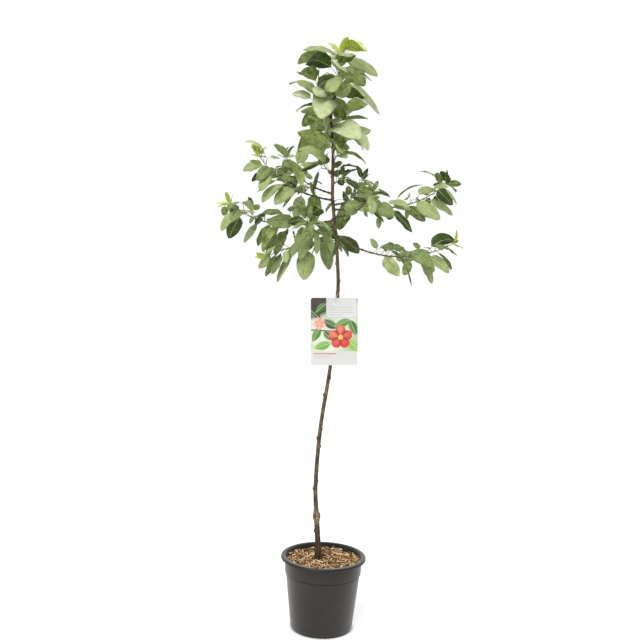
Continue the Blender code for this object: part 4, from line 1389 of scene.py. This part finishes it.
def bent_blade(leaf, pattern, rng):
    """The places of a pattern's vertices on one leaf's bent, folded and waved blade."""
    size = np.abs(pattern.across)
    reach = outline(np.clip(pattern.along, 0, 1), BLADE_BASE, BLADE_TIP)
    share = np.clip(pattern.along + SWEEP * reach * size * (1 - pattern.along), 0, 1)
    reach = outline(share, BLADE_BASE, BLADE_TIP)
    widest = leaf.width / 2 * BLADE_SLIM
    half = widest * reach * pattern.across * (1 - TOOTH * pattern.notched)
    fold_rise = np.abs(half) * math.sin(leaf.fold) * (0.6 + 0.4 * size)
    waves = rng.uniform(1.5, 3.0)
    ruffle = np.sin(2 * math.pi * (waves * share + rng.random()) + np.sign(pattern.across))
    wave = MARGIN_WAVE * rng.uniform(0.3, 1.2) * leaf.length * reach * size**2 * ruffle
    swell = QUILT * leaf.length * pattern.raised * np.sin(math.pi * size**0.8) * reach
    dip = -MIDRIB_DIP * leaf.length * np.exp(-((size / 0.09) ** 2)) * reach
    rise = fold_rise + wave + swell + dip - rng.uniform(*ROLL) * np.abs(half) * size**1.6
    twist = math.radians(rng.gauss(0, 7)) * share
    across = half * math.cos(leaf.fold)
    side = across * np.cos(twist) - rise * np.sin(twist)
    rise = across * np.sin(twist) + rise * np.cos(twist)
    turned = leaf.bend * share
    forward = leaf.length * np.sin(turned) / leaf.bend + rise * np.sin(turned)
    height = -leaf.length * (1 - np.cos(turned)) / leaf.bend + rise * np.cos(turned)
    aside = np.array(leaf.face.cross(leaf.along))
    neck, along, face = np.array(leaf.neck), np.array(leaf.along), np.array(leaf.face)
    return neck + forward[:, None] * along + height[:, None] * face + side[:, None] * aside


def leaf_tone(leaf, rng):
    """A leaf's tone: bright up the leader as painted light, deep low down beside the trunk as painted
    shade.
    """
    if leaf.young or leaf.foot.z > NEW_GROWTH:
        return TONES.index("young")
    shade = max(0.0, 1 - math.hypot(leaf.neck.x, leaf.neck.y / 2) / SHADE_REACH)
    weights = LEADER_TONES
    if leaf.neck.z < SHADE_TOP:
        deep, middle, bright, pale = SIDE_TONES
        weights = (deep + SHADE_DEEP * shade, middle, bright * (1 - shade), pale * (1 - shade))
    return rng.choices(range(len(weights)), weights)[0]


def leaf_part(leaf, pattern, rng):
    """Sets a pattern to one leaf's shape and tones, ready to be added to a piece."""
    mesh = pattern.mesh
    mesh.vertices.foreach_set("co", bent_blade(leaf, pattern, rng).ravel())
    tone = leaf_tone(leaf, rng)
    slots = np.array((tone, *VEINS[tone]), dtype=np.int32)
    mesh.polygons.foreach_set("material_index", slots[pattern.ribs])
    return mesh


def stalk_tube(leaf, thickness):
    """The leaf's stalk, which runs on under the blade as its midrib."""
    sag = (leaf.neck - leaf.foot).length * 0.07
    points, radii = [], []
    for i in range(7):
        share = i / 7
        points.append(leaf.foot.lerp(leaf.neck, share) + UP * sag * math.sin(math.pi * share))
        radii.append(thickness * (1.35 if i == 0 else 1.0))
    for i in range(10):
        share = MIDRIB_END * (i / 9) ** 1.1
        depth = -(MIDRIB_DIP * leaf.length * min(1.0, outline(share))) - thickness * 0.35
        points.append(blade_point(leaf, share, 0, depth * min(1.0, 0.3 + share * 8)))
        radii.append(thickness * (0.95 - 0.75 * share / MIDRIB_END))
    return tube(points, radii, STALK_SIDES, 2)


def bud_tube(foot, stem, azimuth, size):
    """A small pointed bud that lies against the stem."""
    out = (stem * 0.8 + around(stem, azimuth) * 0.55).normalized()
    start = foot + around(stem, azimuth) * SHOOT_TIP_RADIUS
    points = [start + out * (size * share) for share in (0, 0.3, 0.6, 0.85, 1.0)]
    radii = [size * share for share in (0.20, 0.30, 0.26, 0.14, 0.03)]
    return tube(points, radii, 6, 3)


def stem_tube(shoot, points, split, radius):
    """The shoot's leafy stem, swelled at its nodes, with green new wood at its end."""
    low = max(0.0, split - 0.004)
    fine = run(shoot_start(shoot), shoot, low, 1, FINE_STEP)
    shares = [i / (len(fine) - 1) for i in range(len(fine))]
    radii = [radius + (SHOOT_TIP_RADIUS - radius) * share for share in shares]
    nodes = [(node + NODE_AT) / shoot.leaves for node in range(shoot.leaves)]
    length = shoot.length * (1 - low)
    radii = swelled(radii, shares, nodes, length)
    if not split and shoot is not LEADER:
        inward = (trunk_point(shoot.height) - fine[0]) * 0.7
        inward.z = 0
        fine.insert(0, fine[0] + inward)
        radii.insert(0, radii[0] * 1.5)
        shares.insert(0, 0.0)
    relief = limb_relief(np.array(shares) * length, shoot.seed + 40, 0.00012)
    part = tube(fine, radii, SHOOT_SIDES, 0, relief)
    if shoot.name.startswith("spur"):
        return part
    green_from, way = spot_along(points, GREEN_FROM)[0], spot_along(points, 0.8)[1]
    for face in part.faces:
        face.material_index = int((face.calc_center_median() - green_from).dot(way) > 0)
    return part


def twig_tube(foot, tip):
    """A short twig, curved a little upwards."""
    bow = (tip - foot).length * 0.12
    shares = [i / 7 for i in range(8)]
    points = [foot.lerp(tip, share) - UP * bow * math.sin(math.pi * share) for share in shares]
    return tube(points, [0.0013 - 0.0004 * i / 7 for i in range(8)], 8, 1)


def shoot_shape(shoot, points, split, radius, leaves, twigs):
    """The stem, twigs, leaf stalks and buds of one mass."""
    shape = bmesh.new()
    join(shape, stem_tube(shoot, points, split, radius))
    for foot, tip in twigs:
        join(shape, twig_tube(foot, tip))
    for leaf in leaves:
        thickness = STALK_RADIUS * min(1.0, 0.35 + leaf.length / 0.11)
        join(shape, stalk_tube(leaf, thickness))
    for node in range(shoot.leaves):
        foot, stem = spot_along(points, (node + NODE_AT) / shoot.leaves)
        join(shape, bud_tube(foot, stem, node * GOLDEN_TURN, BUD_LENGTH))
    return shape


def leaf_shape(shoot, leaves, large, small):
    """The blades of one mass: large leaves with all their veins, small ones with few."""
    rng = random.Random(shoot.seed + 2 * FINE_SEED)
    shape = bmesh.new()
    for leaf in leaves:
        pattern = large if leaf.length > LARGE_LEAF else small
        shape.from_mesh(leaf_part(leaf, pattern, rng))
    return shape


# Picture card

def card_place():
    """Stands the flat card up, leans it and hangs it in front of the trunk."""
    middle = Vector((CARD_CENTRE[0], CARD_BACK - CARD_THICKNESS / 2, CARD_CENTRE[1]))
    lean = Matrix.Rotation(math.radians(CARD_LEAN), 4, "Y")
    return Matrix.Translation(middle) @ lean @ Matrix.Rotation(math.radians(90), 4, "X")


def rounded(x, y):
    """Draws a square-cornered sheet's point in, so that the sheet's corners are round."""
    centre_x = math.copysign(CARD_WIDTH / 2 - CARD_CORNER, x)
    centre_y = math.copysign(CARD_HEIGHT / 2 - CARD_CORNER, y)
    off_x, off_y = abs(x) - abs(centre_x), abs(y) - abs(centre_y)
    if off_x <= 0 or off_y <= 0:
        return x, y
    scale = max(off_x, off_y) / math.hypot(off_x, off_y)
    return centre_x + (x - centre_x) * scale, centre_y + (y - centre_y) * scale


def card_sheet():
    """The card's flat sheet, with its round corners and its hole."""
    part, column, row = turned_grid(CARD_COLUMNS, CARD_ROWS)
    cell = CARD_HEIGHT / CARD_ROWS
    hole_y = round(CARD_HOLE_UP / cell) * cell
    inside, clear = 2, 7
    gone = []
    for vert, i, j in zip(part.verts, column, row):
        x = (i / CARD_COLUMNS - 0.5) * CARD_WIDTH
        y = (j / CARD_ROWS - 0.5) * CARD_HEIGHT
        off_x, off_y = x / cell, (y - hole_y) / cell
        ring = max(abs(off_x), abs(off_y))
        if ring < inside - 0.5:
            gone.append(vert)
        elif ring < clear:
            blend = max(0.0, ring - inside) / (clear - inside)
            scale = CARD_HOLE_RADIUS / (math.hypot(off_x, off_y) * cell)
            drawn = scale + (1 - scale) * blend
            x, y = x * drawn, hole_y + (y - hole_y) * drawn
        vert.co = (*rounded(x, y), 0)
    bmesh.ops.delete(part, geom=gone, context="VERTS")
    return part


def soft_step(value, width=0.0007):
    """0 below zero and 1 above it, with a soft edge of a width."""
    share = max(0.0, min(1.0, value / width + 0.5))
    return share * share * (3 - 2 * share)


def over(under, colour, cover):
    """One colour laid over another."""
    return [a + (b - a) * cover for a, b in zip(under, colour)]


# The card's picture: (x, y, half length, half width, heading, colour) of its leaves.
CARD_LEAVES = (
    (-0.046, -0.008, 0.022, 0.0100, 62, "#48772F"),
    (-0.030, -0.036, 0.023, 0.0105, 18, "#6A9A40"),
    (-0.012, 0.020, 0.023, 0.0105, -28, "#2E5526"),
    (0.020, 0.022, 0.022, 0.0100, 22, "#527F38"),
    (0.048, 0.010, 0.022, 0.0100, 112, "#3A6A2C"),
    (0.048, -0.034, 0.022, 0.0110, -48, "#7FAE4A"),
    (-0.014, -0.012, 0.018, 0.0085, 140, "#2E5526"),
    (-0.048, 0.044, 0.019, 0.0090, 140, "#27481F"),
    (-0.034, 0.060, 0.019, 0.0085, 40, "#3C6A30"),
)

# Its blossoms: (x, y, radius, heading, colour of the petals, colour of their hearts).
CARD_BLOSSOMS = (
    (0.016, -0.014, 0.0310, 18, "#C9312A", "#5E1118"),
    (-0.037, 0.021, 0.0165, 50, "#EAA39B", "#C0504A"),
)
PETALS = 5

# Below this height the card is a plain pale band.
CARD_BAND = -0.0495

# Its white panel: (left, right, foot, round of its corners).
CARD_PANEL = (-0.020, 0.056, 0.036, 0.009)

# The rules in place of print: (height, left end, right end, half height, colour, cover).
CARD_RULES = (
    (0.0625, -0.013, 0.049, 0.0005, "#9B9C9D", 0.8),
    (0.0560, -0.013, 0.043, 0.0005, "#9B9C9D", 0.8),
    (0.0495, -0.013, 0.049, 0.0005, "#9B9C9D", 0.8),
    (0.0430, -0.013, 0.020, 0.0005, "#9B9C9D", 0.8),
    (-0.0565, -0.053, 0.006, 0.0011, "#B8443C", 1.0),
    (-0.0625, -0.053, -0.010, 0.0005, "#989893", 0.8),
    (-0.0665, -0.053, -0.018, 0.0005, "#989893", 0.8),
)


def card_leaf(colour, x, y, leaf):
    """Lays one leaf of the card's picture over a colour."""
    middle_x, middle_y, length, width, heading, green = leaf
    turn = math.radians(heading)
    along = ((x - middle_x) * math.cos(turn) + (y - middle_y) * math.sin(turn)) / length
    across = (-(x - middle_x) * math.sin(turn) + (y - middle_y) * math.cos(turn)) / width
    if abs(along) >= 1:
        return colour
    half = (1 - along**2) * (1 + 0.25 * along)
    cover = soft_step((half - abs(across)) * width)
    rib = soft_step(0.0006 - abs(across) * width) * 0.7
    tinted = over(linear(green), linear("#C9DDA0"), 0.28 * max(0.0, across) + rib)
    return over(colour, tinted, cover)


def card_blossom(colour, x, y, blossom):
    """Lays one open blossom with round petals and a yellow heart over a colour."""
    middle_x, middle_y, radius, heading, petal, heart = blossom
    off_x, off_y = (x - middle_x) / radius, (y - middle_y) / radius
    reach = math.hypot(off_x, off_y)
    if reach > 1:
        return colour
    lobe = abs(math.cos(PETALS / 2 * (math.atan2(off_y, off_x) - math.radians(heading))))
    cover = soft_step((0.60 + 0.38 * lobe**0.5 - reach) * radius)
    lit = max(0.0, 1 - math.hypot(off_x + 0.3, off_y - 0.45) * 0.8)
    skin = over(linear(petal), linear("#F7B49A"), 0.5 * lit * lobe)
    skin = over(skin, linear(heart), (1 - lobe) ** 2 * 0.8)
    skin = over(skin, linear(heart), max(0.0, 1 - reach / 0.55) ** 1.2 * 0.8)
    skin = over(skin, linear("#E9B94E"), soft_step((0.20 - reach) * radius))
    return over(colour, skin, cover)


def card_stalk(colour, x, y, start, end, half):
    """Lays a thin brown stalk over a colour."""
    way_x, way_y = end[0] - start[0], end[1] - start[1]
    length = way_x**2 + way_y**2
    share = max(0.0, min(1.0, ((x - start[0]) * way_x + (y - start[1]) * way_y) / length))
    apart = math.hypot(x - start[0] - way_x * share, y - start[1] - way_y * share)
    return over(colour, linear("#5A3A26"), soft_step(half - apart))


def card_panel(colour, x, y):
    """Lays the white panel and its thin grey edge over a colour."""
    left, right, foot, corner = CARD_PANEL
    off_x = abs(x - (left + right) / 2) - (right - left) / 2 + corner
    off_y = foot + corner - y
    inside = corner - math.hypot(max(0.0, off_x), max(0.0, off_y)) - min(0.0, max(off_x, off_y))
    colour = over(colour, linear("#A4A59F"), soft_step(inside + 0.0008))
    return over(colour, linear("#CDCDCB"), soft_step(inside))


def card_colour(x, y):
    """The colour of the card's picture at a place on it, as linear red, green, blue, alpha."""
    blur = 0.5 + 0.5 * noise.noise(Vector((x * 38, y * 38, 2.0)))
    colour = over(linear("#D2D6CA"), linear("#98B478"), blur**2)
    colour = over(colour, linear("#7BA35A"), 0.6 * soft_step(x - y * 0.5 - 0.045, 0.03))
    corner = soft_step(y - 0.043 - 0.4 * (x + 0.03), 0.016)
    colour = over(colour, linear("#2C1A17"), corner * (0.90 + 0.10 * blur))
    colour = card_stalk(colour, x, y, (-0.058, 0.004), (0.058, -0.002), 0.0016)
    for leaf in CARD_LEAVES:
        colour = card_leaf(colour, x, y, leaf)
    for blossom in CARD_BLOSSOMS:
        colour = card_blossom(colour, x, y, blossom)
    colour = card_panel(colour, x, y)
    colour = over(colour, linear("#C1C1BD"), soft_step(CARD_BAND - y))
    for height, left, right, half, ink, cover in CARD_RULES:
        rule = min(half - abs(y - height), x - left, right - x)
        colour = over(colour, linear(ink), soft_step(rule) * cover)
    return colour


def card_finish():
    """Printed polypropylene sheet: smooth enough for a soft gleam, with its picture in the ink."""
    finish, shader, place = base("printed_card", Roughness=0.32, IOR=1.49)
    ink = add_node(finish, "Attribute", {}, "Color", attribute_name="ink")
    grain = add_node(finish, "TexNoise", {"Vector": place, "Scale": 1400.0, "Detail": 2.0})
    relief = add_node(finish, "Bump", {"Height": grain, "Strength": 0.05, "Distance": 0.0002})
    feed(finish, shader, {"Base Color": ink, "Normal": relief})
    return finish


# Stage

def light_table(glow):
    """White acrylic lit from below, as packshots are taken on: matt, and nearly free of shadow."""
    finish = mottled("white_light_table", ("#BCBCBC", "#BFBFBF"), 0.8, 0.8)
    place = add_node(finish, "TexCoord", {}, "Object")
    # Painted shadow: the floor's glow fades to dark under the pot's foot.
    inputs = {"Vector": add_node(finish, "Mapping", {"Vector": place, "Scale": (10, 10, 10)})}
    near = add_node(finish, "TexGradient", inputs, "Fac", gradient_type="SPHERICAL")
    lit = add_node(finish, "ValToRGB", {"Fac": near}, stops=((0.12, "#FFFFFF"), (0.24, "#101010")))
    shader = finish.node_tree.nodes["Principled BSDF"]
    feed(finish, shader, {"Emission Color": lit, "Emission Strength": glow})
    return finish


def white_surround(horizon, overhead):
    """A studio that is white all round and dimmer overhead, so that shade keeps its depth."""
    world = bpy.data.worlds.new("white_surround")
    world.use_nodes = True
    place = add_node(world, "TexCoord", {}, "Generated")
    height = add_node(world, "SeparateXYZ", {"Vector": place}, "Z")
    light = add_node(world, "MapRange", dict(zip(RANGE, (height, *DIMMED, horizon, overhead))))
    feed(world, world.node_tree.nodes["Background"], {"Color": linear("#FFFFFF"), "Strength": light})
    return world


def soft_sun(name, towards, spread, strength):
    """A wide soft light from a direction, as even as a large lamp far off."""
    light = bpy.data.lights.new(name, "SUN")
    light.angle = math.radians(spread)
    light.energy = strength
    add_object(name, light).rotation_euler = Vector(towards).to_track_quat("Z", "Y").to_euler()


# Settings that a user would change

# What the settings that are lengths have in common.
LENGTH = {"precision": 5, "unit": "LENGTH"}


class PotSettings(bpy.types.PropertyGroup):
    """The pot's smoothness and colour."""

    sides: IntProperty(name="Sides", description="Facets round the pot", default=POT_SIDES, min=24)
    colour: FloatVectorProperty(
        name="Plastic",
        description="Colour of the pot's plastic",
        subtype="COLOR",
        size=4,
        default=linear("#1E1912"),
    )


class FillingSettings(bpy.types.PropertyGroup):
    """The layer of chips."""

    chips: IntProperty(name="Chips", description="Number of loose chips", default=CHIP_COUNT, min=0)


class BarkSettings(bpy.types.PropertyGroup):
    """The relief of the trunk's bark."""

    relief: FloatProperty(name="Relief", description="Rise of the bark's ridges", default=0.00034, **LENGTH)


class LeafSettings(bpy.types.PropertyGroup):
    """The leaves' thickness."""

    thickness: FloatProperty(name="Blade", description="Its thickness", default=LEAF_THICKNESS, **LENGTH)


class CardSettings(bpy.types.PropertyGroup):
    """The card's sheet."""

    bow: FloatProperty(name="Bow", description="How far its edges bend back", default=CARD_BOW, **LENGTH)


class StageSettings(bpy.types.PropertyGroup):
    """The light of the studio."""

    key: FloatProperty(name="Key light", description="Strength of the key light", default=2.7)
    top: FloatProperty(name="Top light", description="Strength of the light from above", default=0.9)
    horizon: FloatProperty(name="Surround", description="Brightness round the horizon", default=1.02)
    overhead: FloatProperty(name="Overhead", description="Brightness overhead", default=0.42)
    glow: FloatProperty(name="Glow", description="Brightness of the lit floor", default=0.56)


# One operator for each piece or group of like pieces

class POTTED_TREE_OT_pot(bpy.types.Operator):
    """Turns the nursery pot and cuts its drainage"""

    bl_idname = "potted_tree.pot"
    bl_label = "Pot"

    def execute(self, context):
        settings = context.scene.tree_pot
        finishes = [satin_polypropylene(settings.colour), painted_shade_polypropylene()]
        shape = spun(pot_profile(), settings.sides)
        # Faces between the heights of painted shade take the dark, dull plastic.
        for face in shape.faces:
            height = face.calc_center_median().z
            face.material_index = int(any(low < height < high for low, high in PAINTED_SHADE_HEIGHTS))
        pot = make_piece("nursery_pot", shape, finishes, ["pot"])
        cut(pot, pot_cutters())
        pot.data.shade_smooth()
        pot.data.set_sharp_from_angle(angle=math.radians(SHARP_ANGLE))
        return {"FINISHED"}


class POTTED_TREE_OT_filling(bpy.types.Operator):
    """Finishes the potting mix and strews the coir chips on it"""

    bl_idname = "potted_tree.filling"
    bl_label = "Filling"

    def execute(self, context):
        # Peat and bark, kept moist: dark, crumbly and matt.
        peat = mottled("moist_potting_mix", ("#241A12", "#3A2C20", "#554434"), 0.004, 0.95, 0.9, 0.0012)
        refinish("potting_mix", peat)
        # Coir dust between the chips, brown and without any gleam, painted dark as the shade in the gaps.
        dust = mottled("coir_dust_and_painted_shade", ("#1A100A", "#37250F", "#6B4D2C"), 0.003, 0.95, 1.0, 0.0010)
        bed = spun(bed_profile(), BED_SIDES)
        for vert in bed.verts:
            if vert.co.z > MULCH_TOP - BED_DROP - CLEAR:
                vert.co.z = mulch_height(vert.co.x, vert.co.y)
        make_piece("coir_bed", bed, [dust], ["mulch"])
        finishes = []
        for name, colours, roughness in CHIP_SKINS:
            skin = mottled(name, colours, 0.004, roughness, 0.6, 0.0005, Specular_IOR_Level=0.2)
            finishes.append(skin)
        chips = scatter_chips(context.scene.tree_filling.chips, len(finishes))
        make_piece("coir_chips", chips, finishes, ["mulch"], smooth=False)
        return {"FINISHED"}


class POTTED_TREE_OT_trunk(bpy.types.Operator):
    """Models the trunk's bark, its knobs and its graft"""

    bl_idname = "potted_tree.trunk"
    bl_label = "Trunk"

    def execute(self, context):
        count = round((TRUNK_TOP - TRUNK_FOOT) / TRUNK_RING)
        heights = [TRUNK_FOOT + (TRUNK_TOP - TRUNK_FOOT) * i / count for i in range(count + 1)]
        points = [trunk_point(height) for height in heights]
        radii = [trunk_radius(height) for height in heights]
        branch_points = [(s.height, s.heading) for s in (SIDE_SHOOT, *BOUGHS, *trunk_spurs())]
        relief = trunk_relief(heights, branch_points, context.scene.tree_bark.relief)
        part = tube(points, radii, TRUNK_SIDES, 0, relief, level=True)
        scars = scar_shares(part)
        trunk = make_piece("trunk_bark", part, [smooth_young_bark("young_bark")], ["trunk"])
        ink = trunk.data.attributes.new("scar", "FLOAT", "POINT")
        ink.data.foreach_set("value", scars)
        return {"FINISHED"}


class POTTED_TREE_OT_boughs(bpy.types.Operator):
    """Models the boughs' bark"""

    bl_idname = "potted_tree.boughs"
    bl_label = "Boughs"

    def execute(self, context):
        bark = bpy.data.materials["young_bark"]
        for shoot in BOUGHS:
            node = "bough_" + shoot.name
            make_piece(node + "_bark", bough_tube(shoot), [bark], [node])
        return {"FINISHED"}


class POTTED_TREE_OT_foliage(bpy.types.Operator):
    """Grows the shoots and their leaves"""

    bl_idname = "potted_tree.foliage"
    bl_label = "Foliage"

    def execute(self, context):
        blades = leaf_finishes()
        stems = [mottled(*skin) for skin in STEM_SKINS]
        large = leaf_pattern("large_leaf", *LARGE_PATTERN)
        small = leaf_pattern("small_leaf", *SMALL_PATTERN)
        space = Space()
        grown = []
        for shoot, points, split, radius in lay_out(space):
            leaves, twigs = grow("foliage_" + shoot.name, points, shoot, space)
            grown.append((shoot, points, split, radius, leaves, twigs))
        for shoot, points, split, radius, leaves, twigs in grown:
            more, few = small_growth(shoot, points, space)
            leaves, twigs = leaves + more, twigs + few
            node = "foliage_" + shoot.name
            shape = leaf_shape(shoot, leaves, large, small)
            piece = make_piece(shoot.name + "_leaves", shape, blades, [node])
            thicken(piece, context.scene.tree_leaves.thickness, UNDERSIDE)
            shape = shoot_shape(shoot, points, split, radius, leaves, twigs)
            make_piece(shoot.name + "_shoot", shape, stems, [node])
        bpy.data.meshes.remove(large.mesh)
        bpy.data.meshes.remove(small.mesh)
        return {"FINISHED"}


class POTTED_TREE_OT_card(bpy.types.Operator):
    """Prints the picture card and finishes its loop"""

    bl_idname = "potted_tree.card"
    bl_label = "Picture card"

    def execute(self, context):
        part = card_sheet()
        inks = [card_colour(vert.co.x, vert.co.y) for vert in part.verts]
        bow = context.scene.tree_card.bow
        for vert in part.verts:
            side = abs(vert.co.x) / (CARD_WIDTH / 2)
            curl = CARD_CURL * max(0.0, -vert.co.y / CARD_HEIGHT - 0.2) ** 2
            vert.co.z = CARD_THICKNESS / 2 - bow * side**2 + curl
        bmesh.ops.transform(part, matrix=card_place(), verts=part.verts)
        # The sheet's unprinted back: white polypropylene with a soft gleam.
        white = mottled("card_back", ("#D2D1CD", "#DCDBD7"), 0.03, 0.36, 0.05, 0.0008)
        card = make_piece("picture_card", part, [card_finish(), white], ["label_card"])
        ink = card.data.color_attributes.new("ink", "FLOAT_COLOR", "POINT")
        ink.data.foreach_set("color", [channel for colour in inks for channel in colour])
        thicken(card, CARD_SHEET, 1)
        # Drawn nylon: smooth, milky and a little yellow.
        milky = mottled("clear_tie", ("#CFC9BA", "#E2DDD0"), 0.004, 0.35, 0.1, 0.0005)
        refinish("label_loop", milky)
        return {"FINISHED"}


class POTTED_TREE_OT_stage(bpy.types.Operator):
    """Sets the white floor, the soft studio light and the camera"""

    bl_idname = "potted_tree.stage"
    bl_label = "Stage"

    def execute(self, context):
        scene = context.scene
        scene.view_settings.view_transform = "Standard"
        settings = scene.tree_stage
        scene.world = white_surround(settings.horizon, settings.overhead)
        part = bmesh.new()
        bmesh.ops.create_grid(part, x_segments=2, y_segments=2, size=FLOOR_HALF)
        mesh = mesh_of("studio_floor", part)
        mesh.materials.append(light_table(settings.glow))
        floor = add_object("studio_floor", mesh)
        soft_sun("key_light", *KEY_LIGHT, settings.key)
        soft_sun("top_light", *TOP_LIGHT, settings.top)
        camera = bpy.data.cameras.new("camera")
        camera.lens = CAMERA_LENS
        camera.sensor_width = SENSOR
        view = add_object("camera", camera)
        pitch = Matrix.Rotation(math.radians(90 + CAMERA_PITCH), 4, "X")
        roll = Matrix.Rotation(math.radians(CAMERA_ROLL), 4, "Z")
        view.matrix_world = Matrix.Translation(CAMERA_PLACE) @ pitch @ roll
        scene.camera = view
        return {"FINISHED"}


STEPS = ("stage", "pot", "filling", "trunk", "boughs", "foliage", "card")
SETTINGS = {
    "tree_pot": PotSettings,
    "tree_filling": FillingSettings,
    "tree_bark": BarkSettings,
    "tree_leaves": LeafSettings,
    "tree_card": CardSettings,
    "tree_stage": StageSettings,
}


class POTTED_TREE_PT_panel(bpy.types.Panel):
    """Lists the settings and the steps that make the tree"""

    bl_label = "Fruit tree"
    bl_idname = "POTTED_TREE_PT_panel"
    bl_space_type = "VIEW_3D"
    bl_region_type = "UI"
    bl_category = "Fruit tree"

    def draw(self, context):
        for name, group in SETTINGS.items():
            for setting in group.__annotations__:
                self.layout.prop(getattr(context.scene, name), setting)
        for step in STEPS:
            self.layout.operator("potted_tree." + step)


CLASSES = (
    *SETTINGS.values(),
    POTTED_TREE_OT_stage,
    POTTED_TREE_OT_pot,
    POTTED_TREE_OT_filling,
    POTTED_TREE_OT_trunk,
    POTTED_TREE_OT_boughs,
    POTTED_TREE_OT_foliage,
    POTTED_TREE_OT_card,
    POTTED_TREE_PT_panel,
)


def register():
    """Adds the classes and the scene's settings."""
    for item in CLASSES:
        bpy.utils.register_class(item)
    for name, group in SETTINGS.items():
        setattr(bpy.types.Scene, name, PointerProperty(type=group))


def unregister():
    """Removes what register added."""
    for name in SETTINGS:
        delattr(bpy.types.Scene, name)
    for item in reversed(CLASSES):
        bpy.utils.unregister_class(item)


def main():
    """Dresses the tree step by step."""
    register()
    for step in STEPS:
        getattr(bpy.ops.potted_tree, step)()


if __name__ == "__main__":
    main()
